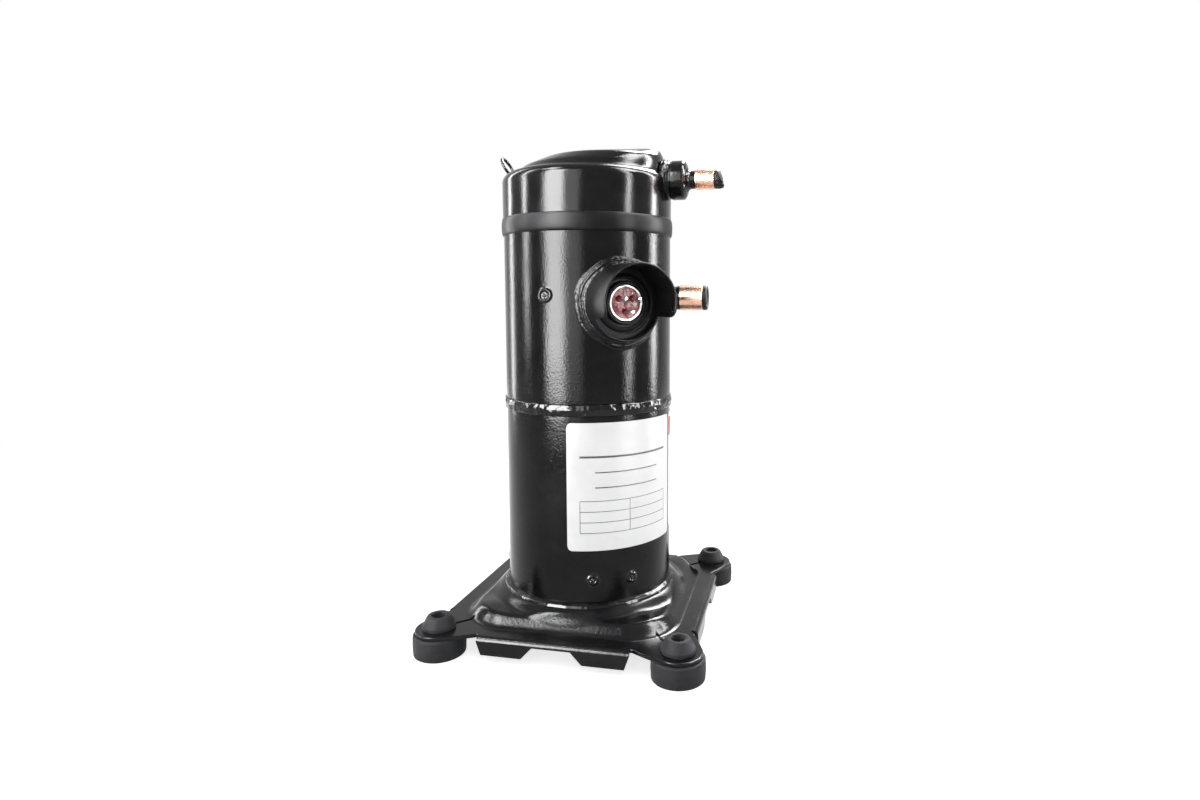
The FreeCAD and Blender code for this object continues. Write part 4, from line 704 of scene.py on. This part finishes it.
def flange_sheet(quarter):
    """One flange: a bend from the plate's edge down to its notched lower edge."""
    bend = 4.0
    across = np.linspace(-1, 1, 121)
    straight = [(PLATE_EDGE - 0.2, 0.0)]
    curve = [(FLANGE_REACH - bend + bend * math.sin(a), bend * (1 - math.cos(a)))
             for a in np.linspace(0, math.pi / 2, 12)]
    drop = np.linspace(0, 1, 14)[1:]
    rows_outer, rows_inner = [], []
    for number, (out, fall) in enumerate(straight + curve):
        angle = max(0, number - 1) / 11 * math.pi / 2
        x = across * FLANGE_HALF
        rows_outer.append((x, out, PLATE_TOP - fall))
        rows_inner.append((x, out - PLATE_WALL * math.sin(angle),
                           PLATE_TOP - fall - PLATE_WALL * math.cos(angle)))
    for share in drop:
        x = across * (FLANGE_HALF - 3.5 * share)
        foot = flange_bottom(x)
        level = (PLATE_TOP - bend) * (1 - share) + foot * share
        level = np.minimum(level, PLATE_TOP - bend)
        level = np.where(foot > PLATE_TOP - bend - 0.6, PLATE_TOP - bend - 0.6 * share, level)
        rows_outer.append((x, FLANGE_REACH, level))
        rows_inner.append((x, FLANGE_REACH - PLATE_WALL, level))

    def stack(rows):
        return np.array([np.stack([x, np.full_like(x, -out), np.zeros_like(x) + level], -1)
                         for x, out, level in rows])
    points = np.concatenate([stack(rows_outer), stack(rows_inner)[::-1]])
    spin = quarter * math.pi / 2
    x, y, z = np.moveaxis(points, -1, 0)
    points = np.stack([x * math.cos(spin) - y * math.sin(spin),
                       x * math.sin(spin) + y * math.cos(spin), z], -1)
    mesh = grid_mesh("flange", points, wrap_rows=True)
    mend(mesh, fill=True)
    return mesh


def prism(name, outline):
    """A closed prism on an outline, through the whole plate."""
    rings = [np.column_stack([outline, np.full(len(outline), level)])
             for level in CUTTER_LEVELS]
    mesh = grid_mesh(name, np.array(rings), wrap_columns=True)
    mend(mesh, fill=True)
    return mesh


def slot_cutters():
    """Prisms for the keyhole slots and the holes of the feet."""
    cutters = []
    hole = FOOT_PLACE * math.sqrt(2)
    ends = [math.pi / 2 + math.pi * share for share in np.linspace(0, 1, 9)]
    turns = full_turn(48)
    for quarter in range(4):
        direction = math.pi / 4 + quarter * math.pi / 2
        ray = np.array([math.cos(direction), math.sin(direction)])
        aside = np.array([-ray[1], ray[0]])
        slot = [ray * (SLOT_END + SLOT_HALF * math.cos(a)) + aside * SLOT_HALF * math.sin(a)
                for a in ends]
        slot = [ray * hole + aside * SLOT_HALF, *slot, ray * hole - aside * SLOT_HALF]
        circle = ray * hole + FOOT_HOLE * np.stack([np.cos(turns), np.sin(turns)], -1)
        cutters += [prism("slot", slot), prism("hole", circle)]
    return cutters


def cut_mesh(name, mesh, cutters):
    """A mesh less several others."""
    subject = placed(name, mesh)
    tools = []
    for number, cutter in enumerate(cutters):
        tool = placed(f"{name}_tool_{number}", cutter)
        modifier = subject.modifiers.new(f"cut_{number}", "BOOLEAN")
        modifier.object = tool
        modifier.operation = "DIFFERENCE"
        modifier.solver = "EXACT"
        tools.append(tool)
    graph = bpy.context.evaluated_depsgraph_get()
    result = bpy.data.meshes.new_from_object(subject.evaluated_get(graph))
    for item in tools + [subject]:
        bpy.data.objects.remove(item)
    return result


def build_plate():
    """The whole base plate."""
    body = cut_mesh("plate_body", plate_body(), slot_cutters())
    flanges = [flange_sheet(quarter) for quarter in range(4)]
    mesh = joined("plate_skin", [body] + flanges)
    piece = finish_piece("plate_skin", mesh, "plate", ("base_plate",))
    piece.data.set_sharp_from_angle(angle=math.radians(50))


def build_feet():
    """The rubber feet: wide foot, neck and rounded cone with a bolt hole."""
    names = {(1, 1): "right_rear", (1, -1): "right_front",
             (-1, 1): "left_rear", (-1, -1): "left_front"}
    neck_top = PLATE_TOP + 0.1
    for (x_side, y_side), name in names.items():
        centre = np.array([x_side * FOOT_PLACE, y_side * FOOT_PLACE, 0])
        mesh = turned(f"foot_{name}", [
            (5.2, 0.0, 0.5), (FOOT_RADIUS - 0.4, 0.0, 1.4), (FOOT_RADIUS, 8.0, 0),
            (FOOT_RADIUS - 0.3, 16.9, 1.8), (11.0, 16.9, 0.3), (11.0, neck_top, 0.3),
            (12.9, neck_top, 0.5), (12.7, neck_top + 2.8, 2.0), (9.8, FOOT_TOP - 1.8, 3.0),
            (8.6, FOOT_TOP, 1.2), (5.6, FOOT_TOP, 0.7), (5.2, FOOT_TOP - 3, 0.5)],
            segments=96, shift=moved(centre, 0.06, 6.0))
        finish_piece(f"foot_{name}", mesh, "foot_rubber", (f"grommet_{name}",))


# ---------- stubs

def build_discharge_stub():
    """The discharge fitting, its bead, its copper tube and its torn rubber plug."""
    discharge = sideways(DISCHARGE_Z)
    fitting = turned("discharge_body", [
        (4.8, 58, 0.3), (FITTING_RADIUS, 58, 0.5), (FITTING_RADIUS, 70.5, 0.6),
        (FITTING_RADIUS - 0.9, 71.2, 0.5), (FITTING_RADIUS - 0.9, 72.4, 0.5),
        (FITTING_RADIUS, 73.2, 0.8), (FITTING_RADIUS, 83.2, 2.6),
        (FITTING_RADIUS - 3.2, 85, 0.8), (FITTING_RADIUS - 5.6, 85.6, 1.0),
        (8.4, 86.6, 0.8), (7.3, 88, 0.8), (7.1, 95, 0.3), (4.8, 95, 0.3)], discharge, 128)
    finish_piece("discharge_body", fitting, "cap", ("discharge_fitting",))
    bead = turned("discharge_bead", [
        (FITTING_RADIUS - 0.6, 66.5, 0), (FITTING_RADIUS + 1.5, 66.0, 0.6),
        (FITTING_RADIUS + 1.7, 68.4, 1.0), (FITTING_RADIUS - 0.6, 70.2, 0)], discharge, 240,
        longest=0.6, shift=spattered(0.35))
    finish_piece("discharge_bead", bead, "terminal_weld")
    end = high("discharge_tube", 0)
    tube = turned("discharge_copper", [
        (7.2, 92, 0.2), (DISCHARGE_RADIUS, 92, 0.8), (DISCHARGE_RADIUS - 0.1, 99, 0),
        (DISCHARGE_RADIUS, end, 0.5), (6.4, end, 0.3), (6.4, 95.1, 0.1), (7.2, 95.1, 0.1)],
        discharge, 96)
    finish_piece("discharge_copper", tube, "copper", ("discharge_tube",))

    tip = high("discharge_plug", 0)

    def torn(points, radius, along, turn):
        reach = smooth((along - end) / (tip - end))
        slant = -0.28 * radius * np.sin(turn) * reach - 1.9 * reach
        rough = noise_field(points, 2.4, 3) * 0.8 * smooth((along - end) / 2)
        return np.stack([slant + rough, rough * 0.5 * np.cos(turn),
                         rough * 0.5 * np.sin(turn)], -1)
    plug = turned("discharge_stopper_rubber", [
        (0, end - 10.9, 0), (5.8, end - 10.9, 0.6), (6.1, end + 0.3, 0.1),
        (7.5, end + 0.4, 0.6), (7.6, end + 4, 1.0), (6.6, tip - 0.4, 0.8), (0, tip - 0.4, 0)],
        discharge, 72, longest=0.8, shift=torn)
    finish_piece("discharge_stopper_rubber", plug, "plug_rubber", ("discharge_plug",),
                 "discharge_stopper")


def build_suction_stub():
    """The suction fitting, its bead, its copper tube and its rubber plug."""
    suction = sideways(SUCTION_Z)
    fitting = turned("suction_body", [
        (8.6, 65, 0.3), (9.9, 65, 0.3), (9.9, 71.5, 1.2), (9.3, 73.5, 1.0), (9.4, 76.5, 0.6),
        (9.9, 77.6, 0.6), (9.9, 80, 0.3), (9.45, 80, 0.1), (9.45, 84, 0.2), (8.6, 84, 0.2)],
        suction, 96)
    finish_piece("suction_body", fitting, "shell", ("suction_fitting",))
    bead = turned("suction_bead", [
        (9.6, 68.6, 0), (12.2, 68.8, 0.6), (11.8, 70.8, 0.9), (9.6, 72.6, 0)], suction, 200,
        longest=0.6, shift=spattered(0.3))
    finish_piece("suction_bead", bead, "terminal_weld")
    end = high("suction_tube", 0)
    tube = turned("suction_copper", [
        (9.55, 80.1, 0.1), (SUCTION_RADIUS, 80.1, 0.5), (SUCTION_RADIUS - 0.1, 88, 0),
        (SUCTION_RADIUS, end, 0.5), (9.55, end, 0.2)], suction, 96)
    finish_piece("suction_copper", tube, "copper", ("suction_tube",))
    tip = high("suction_plug", 0)
    plug = turned("suction_stopper_rubber", [
        (0, end - 14, 0), (8.4, end - 14, 0.8), (9.2, end + 0.2, 0.1), (10.1, end + 0.3, 0.5),
        (10.0, tip, 1.2), (7.6, tip, 0.6), (7.0, tip - 0.9, 0.5), (0, tip - 0.9, 0)],
        suction, 96, longest=1.5)
    finish_piece("suction_stopper_rubber", plug, "plug_rubber", ("suction_plug",),
                 "suction_stopper")


# ---------- terminal

def fence_sheet(name, first, last, reach):
    """A stretch of the fence's tube between two turns, out to a reach for each turn."""
    turns = np.linspace(first, last, 161)
    shares = np.linspace(0, 1, 24)
    share, turn = np.meshgrid(shares, turns, indexing="ij")
    outer_end = reach(turn)
    along = FENCE_START + share * (outer_end - FENCE_START)
    outer = TERMINAL_AXIS(np.full_like(along, FENCE_RADIUS), along, turn)
    inner = TERMINAL_AXIS(np.full_like(along, FENCE_RADIUS - FENCE_WALL), along, turn)
    half = FENCE_WALL / 2
    lip = [TERMINAL_AXIS(np.full_like(turns, FENCE_RADIUS - half + half * math.cos(a)),
                   outer_end[-1] + half * math.sin(a) * 0.9, turns)
           for a in np.linspace(0, math.pi, 8)[1:-1]]
    points = np.concatenate([outer, np.array(lip), inner[::-1]])
    mesh = grid_mesh(name, points, wrap_rows=True)
    mend(mesh, fill=True)
    return mesh


def build_fence():
    """The hooded fence, cut level under the pins, with rounded lips."""
    cut = 11.0
    corner = 6.0
    level = math.asin(cut / FENCE_RADIUS)

    def hood(turn):
        above = FENCE_RADIUS * np.sin(turn) + cut
        bite = np.clip(corner - above, 0, corner)
        return HOOD_REACH - corner + np.sqrt(np.maximum(corner ** 2 - bite ** 2, 0.01))

    def collar(turn):
        return np.full_like(turn, COLLAR_REACH)
    pieces = [fence_sheet("hood", -level, math.pi + level, hood),
              fence_sheet("collar", math.pi + level, 2 * math.pi - level, collar)]
    piece = finish_piece("fence_hood", joined("fence_hood", pieces), "dark_paint",
                         ("terminal_fence",))
    piece.data.set_sharp_from_angle(angle=math.radians(60))


def build_terminal_weld():
    """The rough bead round the fence, laid on the curve of the shell."""
    inner, outer = FENCE_RADIUS - 0.4, 36.6
    shares = np.linspace(0, 1, 22)
    turns = full_turn(420)
    share, turn = np.meshgrid(shares, turns, indexing="ij")
    edge = outer + 0.8 * np.sin(3 * turn) * 0.5 + 0.5 * np.sin(7 * turn + 1)
    radius = inner + share * (edge - inner)
    aside = radius * np.cos(turn)
    surface = np.sqrt(SHELL_RADIUS ** 2 - aside ** 2)
    heap = 4.6 * np.sqrt(np.clip(1 - share ** 2, 0, 1)) * (0.55 + 0.45 * (1 - share)) - 0.5
    heap = heap + 0.45 * np.sin(share * 15.0) * np.sin(math.pi * share)
    points = TERMINAL_AXIS(radius, surface + heap, turn)
    lumps = 0.35 * noise_field(points, 9.0, 2) + 0.28 * noise_field(points, 1.9, 9)
    scales = 0.15 * np.sin(turn * FENCE_RADIUS / 2.2 + 2 * noise_field(points, 9.0, 5))
    rough = (lumps + scales) * smooth(share / 0.15) * smooth((1 - share) / 0.2)
    points = TERMINAL_AXIS(radius + 0.3 * lumps, surface + heap + rough, turn)
    mesh = grid_mesh("terminal_bead", points, wrap_columns=True)
    finish_piece("terminal_bead", mesh, "terminal_weld", ("terminal_weld",))


def terminal_push(points, push, lift=0.0):
    """A shift of points outwards along the terminal's axis, and upwards."""
    result = np.zeros_like(points)
    result[..., 0] = push * math.cos(TERMINAL_AZIMUTH)
    result[..., 1] = push * math.sin(TERMINAL_AZIMUTH)
    result[..., 2] = lift
    return result


def build_terminal_face():
    """The stepped plate and the cup."""
    plate = turned("terminal_face", [
        (16.9, 66, 0.1), (27.9, 66, 0.1), (27.9, 72, 0.3), (24.2, 72, 0.4), (23.6, 71.2, 0.4),
        (22.6, 71.2, 0.4), (22.0, 72.6, 0.5), (19.6, 73.4, 0.5), (18.6, 72.6, 0.4),
        (16.9, 72.6, 0.2)], TERMINAL_AXIS, 160)
    finish_piece("terminal_face", plate, "dark_paint", ("terminal_plate",))
    cup = turned("terminal_ring", [
        (12.7, 64, 0.2), (16.8, 64, 0.2), (16.8, 75.4, 0.9), (16.0, 76.5, 0.7),
        (14.9, 76.5, 0.6), (14.3, 74.2, 0.4), (12.7, 74.0, 0.2)], TERMINAL_AXIS, 160)
    finish_piece("terminal_ring", cup, "shell", ("terminal_cup",))


def build_terminal_disc():
    """The cup's ragged pale rim and the poured red disc."""
    def ragged(points, radius, along, turn):
        push = 0.28 * np.sin(9 * turn + 0.5) + 0.35 * noise_field(points, 2.5, 6)
        return terminal_push(points, push * 0.5, push * np.sin(turn) * 0.5)
    rim = turned("terminal_pale_rim", [
        (12.1, 74.3, 0), (13.9, 74.3, 0.1), (13.8, 76.3, 0.6), (12.3, 76.3, 0.6)],
        TERMINAL_AXIS, 200, longest=0.5, shift=ragged)
    finish_piece("terminal_pale_rim", rim, "solder")

    def poured(points, radius, along, turn):
        face = smooth((along - 75.0) / 0.4)
        swell = (0.7 * noise_field(points, 5.0, 4) + 0.3 * noise_field(points, 1.8, 2)) * face
        return terminal_push(points, swell)
    disc = turned("terminal_disc", [
        (0, 65.2, 0), (12.4, 65.2, 0.2), (12.4, 75.4, 0.5), (0, 75.6, 0)], TERMINAL_AXIS, 96,
        longest=0.6, shift=poured)
    finish_piece("terminal_disc", disc, "seal", ("terminal_insulator",))


def build_pins():
    """The three pins, each in its collar of compound."""
    pins = []
    collars = []
    for number in range(3):
        angle = math.radians(30 + 120 * number)
        aside = PIN_CIRCLE * math.cos(angle)
        spot = np.array([-aside * math.sin(TERMINAL_AZIMUTH),
                         aside * math.cos(TERMINAL_AZIMUTH), PIN_CIRCLE * math.sin(angle)])
        pins.append(turned("pin", [
            (0, 55, 0), (1.6, 55, 0.5), (1.6, 87.4, 0.2), (1.15, 88.5, 0.4), (0, 88.5, 0)],
            TERMINAL_AXIS, 32, longest=4, shift=moved(spot)))
        collars.append(turned("collar", [
            (0, 74.6, 0), (3.0, 74.8, 0.4), (2.4, 76.2, 0.6), (1.7, 77.4, 0.3), (0, 77.4, 0)],
            TERMINAL_AXIS, 32, longest=0.7, shift=moved(spot, 0.25, 1.6)))
    finish_piece("terminal_posts", joined("terminal_posts", pins), "bright",
                 ("terminal_pins",))
    finish_piece("terminal_collars", joined("terminal_collars", collars), "seal")


# ---------- labels

def curved_patch(first, last, bottom, top, depth, thickness, corner=0.0):
    """A thin patch on the shell between two azimuths, with rounded corners."""
    columns = np.linspace(0, 1, max(2, int((last - first) * SHELL_RADIUS / 0.8)))
    half = (last - first) / 2 * SHELL_RADIUS
    aside = (columns * 2 - 1) * half
    bite = np.maximum(0, np.abs(aside) - (half - corner))
    inset = corner - np.sqrt(np.maximum(corner ** 2 - bite ** 2, 0)) if corner else 0 * aside
    angle = (first + last) / 2 + aside / SHELL_RADIUS
    rows = []
    for level, share in ((depth, 0), (depth, 1), (depth + thickness, 1), (depth + thickness, 0)):
        height = bottom + inset + share * (top - bottom - 2 * inset)
        reach = SHELL_RADIUS + level
        rows.append(np.stack([reach * np.cos(angle), reach * np.sin(angle), height], -1))
    mesh = grid_mesh("patch", np.array(rows), wrap_rows=True)
    mend(mesh, fill=True)
    return mesh


def at_arc(start, millimetres):
    """An azimuth that many millimetres round the shell from another."""
    return start + millimetres / SHELL_RADIUS


def label_sheet(name, node, first, last, bottom, top):
    """A label's blank white sheet."""
    mesh = curved_patch(first, last, bottom, top, *SHEET)
    piece = finish_piece(name, mesh, "label", (node,))
    piece.data.set_sharp_from_angle(angle=math.radians(40))


def build_front_label():
    """The white front label, with plain rules and empty fields."""
    first = FRONT_LABEL_START
    size = high("front_label", 2) - low("front_label", 2)
    bottom = low("front_label", 2)
    label_sheet("front_sheet", "front_label", first, at_arc(first, size), bottom, bottom + size)
    rules = []

    def bar(left, low_edge, width, tall):
        rules.append(curved_patch(at_arc(first, left), at_arc(first, left + width),
                                  bottom + low_edge, bottom + low_edge + tall, *PRINT))
    bar(10, 74, size - 20, 1.6)
    for line in range(4):
        level = 14 + line * 8.5
        bar(10, level, size - 20, 0.5)
    for left in (10, size / 2 - 0.25, size - 10.5):
        bar(left, 14, 0.5, 26)
    for level in (50, 62):
        bar(22, level, size - 44, 0.9)
    finish_piece("front_sheet_rules", joined("front_sheet_rules", rules), "ink")


def build_side_label():
    """The side label: white, with a plain red band along its top."""
    first, last = SIDE_LABEL_SPAN
    bottom, top = low("side_label", 2), high("side_label", 2)
    label_sheet("side_sheet", "side_label", first, last, bottom, top)
    band = curved_patch(first + 0.004, last - 0.004, top - 20, top - 4.2, *PRINT)
    finish_piece("side_sheet_band", band, "label_red")
    width = (last - first) * SHELL_RADIUS
    rules = [curved_patch(at_arc(first, 8), at_arc(first, width - 8), bottom + level,
                          bottom + level + 0.6, *PRINT) for level in range(14, 70, 9)]
    finish_piece("side_sheet_rules", joined("side_sheet_rules", rules), "ink")


# ---------- inner CAD nodes

INNER_FINISH = {
    "cast_iron": ("main_bearing_housing", "fixed_scroll", "orbiting_scroll",
                  "lower_bearing_bracket", "muffler_plate", "sump_magnet"),
    "ground": ("crankshaft", "drive_bushing", "oldham_ring", "oil_pickup", "suction_baffle",
               "upper_counterweight", "lower_counterweight", "scroll_screws",
               "check_valve_disc", "check_valve_stop"),
    "core": ("stator_core", "rotor_core"),
    "aluminium": ("rotor_end_rings",),
    "winding": ("upper_windings", "lower_windings", "motor_leads"),
    "bronze": ("main_bearing_bush", "lower_bearing_bush", "orbiting_bearing"),
    "polymer": ("floating_seal", "terminal_connector", "motor_protector"),
}


def finish_inner_nodes():
    """Give each inner CAD node its own finish."""
    for finish, names in INNER_FINISH.items():
        for name in names:
            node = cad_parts[name]
            node.data.materials.clear()
            node.data.materials.append(paints[finish])


# ---------- camera, light and floor

def build_camera():
    """The camera at the place and with the lens that show the part as it is seen."""
    data = bpy.data.cameras.new("camera")
    data.lens = 21.53
    data.sensor_width = 36.0
    data.shift_x = -0.0446
    data.shift_y = -0.0277
    data.clip_start = 0.01
    camera = placed("camera", data)
    right = Vector((0.97901, 0.20381, 0.00031))
    up = Vector((-0.01907, 0.09008, 0.99575))
    back = right.cross(up)
    turn = Matrix((right, up, back)).transposed()
    camera.matrix_world = Matrix.Translation((0.18027, -0.5928, 0.27594)) @ turn.to_4x4()
    bpy.context.scene.camera = camera


# Soft boxes round the part: azimuth from the camera's side, half width, lowest and highest
# elevation, all in degrees, and strength. Only glossy rays see them.
SOFT_BOXES = (
    (-46.0, 15.0, -15.0, 44.0, 57),
    (-34.0, 25.0, -12.0, 44.0, 8),
    (-91.0, 4.5, -4.0, 48.0, 62),
    (-127.0, 5.0, -60.0, 48.0, 21),
    (56.0, 5.0, -13.0, 48.0, 57),
    (101.0, 5.0, -10.0, 48.0, 73),
    (-66.0, 13.0, 40.0, 64.0, 52),
    (78.0, 18.0, 36.0, 68.0, 52),
    (148.0, 18.0, 30.0, 66.0, 47),
)
CAMERA_AZIMUTH = -73.1
FLOOR_REACH = 1.3
FLOOR_GLOW = 0.75
FILL = 0.74
TOP_FILL = 0.55


def math_calls(tree):
    """A function that adds one Math node to a tree and gives its output."""
    def calc(operation, *values):
        node = tree.nodes.new("ShaderNodeMath")
        node.operation = operation
        for socket, value in zip(node.inputs, values):
            if isinstance(value, (int, float)):
                socket.default_value = value
            else:
                tree.links.new(value, socket)
        return node.outputs[0]
    return calc


def soft_box(calc, azimuth, elevation, box):
    """The light of one soft box in a direction."""
    offset, half, bottom, top, strength = box
    turn = calc("SUBTRACT", azimuth, math.radians(CAMERA_AZIMUTH + offset))
    turn = calc("ABSOLUTE", calc("ARCTAN2", calc("SINE", turn), calc("COSINE", turn)))
    across = calc("MULTIPLY", calc("SUBTRACT", math.radians(half), turn), 16.0)
    over = calc("MULTIPLY", calc("SUBTRACT", elevation, math.radians(bottom)), 8.0)
    under = calc("MULTIPLY", calc("SUBTRACT", math.radians(top), elevation), 6.0)
    level = calc("MINIMUM", calc("MINIMUM", calc("MINIMUM", across, over), under), 1.0)
    return calc("MULTIPLY", calc("MAXIMUM", level, 0.0), strength)


def shows_backdrop(calc, ray):
    """1 for the camera, glossy and transmission rays, which see the white background."""
    seen = calc("MAXIMUM", ray.outputs["Is Camera Ray"], ray.outputs["Is Transmission Ray"])
    return calc("MAXIMUM", seen, ray.outputs["Is Glossy Ray"])


def build_world():
    """White to camera, gloss and glass, soft boxes that gloss shows, and an even fill."""
    world = bpy.data.worlds.new("studio")
    bpy.context.scene.world = world
    world.use_nodes = True
    tree = world.node_tree
    tree.nodes.clear()
    calc = math_calls(tree)
    place = tree.nodes.new("ShaderNodeTexCoord")
    split = tree.nodes.new("ShaderNodeSeparateXYZ")
    tree.links.new(place.outputs["Generated"], split.inputs[0])
    x, y, z = split.outputs
    azimuth = calc("ARCTAN2", y, x)
    elevation = calc("ARCSINE", z)
    ray = tree.nodes.new("ShaderNodeLightPath")
    lamps = 0.0
    for box in SOFT_BOXES:
        lamps = calc("ADD", lamps, soft_box(calc, azimuth, elevation, box))
    fill = calc("ADD", FILL, calc("MULTIPLY", calc("MAXIMUM", z, 0.0), TOP_FILL))
    seen = shows_backdrop(calc, ray)
    shown = calc("MULTIPLY", ray.outputs["Is Glossy Ray"], lamps)
    other = calc("ADD", shown, calc("MULTIPLY", calc("SUBTRACT", 1.0, seen), fill))
    background = tree.nodes.new("ShaderNodeBackground")
    background.inputs["Color"].default_value = (1, 1, 1, 1)
    tree.links.new(calc("ADD", seen, other), background.inputs["Strength"])
    output = tree.nodes.new("ShaderNodeOutputWorld")
    tree.links.new(background.outputs[0], output.inputs[0])


def build_floor():
    """A pale floor that shows as white and keeps a soft shadow under the part."""
    mesh = bpy.data.meshes.new("floor")
    corners = [(-1, -1), (1, -1), (1, 1), (-1, 1)]
    mesh.from_pydata([(x * FLOOR_REACH, y * FLOOR_REACH, 0) for x, y in corners], [],
                     [(0, 1, 2, 3)])
    floor = placed("floor", mesh)
    material, tree, shader = new_material("pale_floor")
    speckle = texture(tree, 3.0, 2, 0.5)
    colour = blended(tree, ranged(tree, speckle, 0, 1),
                     (0.80, 0.80, 0.80), (0.82, 0.82, 0.82))
    tree.links.new(colour, shader.inputs["Base Color"])
    shader.inputs["Roughness"].default_value = 0.9
    shader.inputs["Specular IOR Level"].default_value = 0.0
    ray = tree.nodes.new("ShaderNodeLightPath")
    glow = tree.nodes.new("ShaderNodeMath")
    glow.operation = "MULTIPLY"
    glow.inputs[1].default_value = FLOOR_GLOW
    tree.links.new(shows_backdrop(math_calls(tree), ray), glow.inputs[0])
    shader.inputs["Emission Color"].default_value = (1, 1, 1, 1)
    tree.links.new(glow.outputs[0], shader.inputs["Emission Strength"])
    mesh.materials.append(material)


build_shell()
build_plug_welds()
build_cap()
build_lifting_ring()
build_plate()
build_feet()
build_discharge_stub()
build_suction_stub()
build_fence()
build_terminal_weld()
build_terminal_face()
build_terminal_disc()
build_pins()
build_front_label()
build_side_label()
finish_inner_nodes()
build_camera()
build_world()
build_floor()
bpy.context.scene.view_settings.view_transform = "Standard"
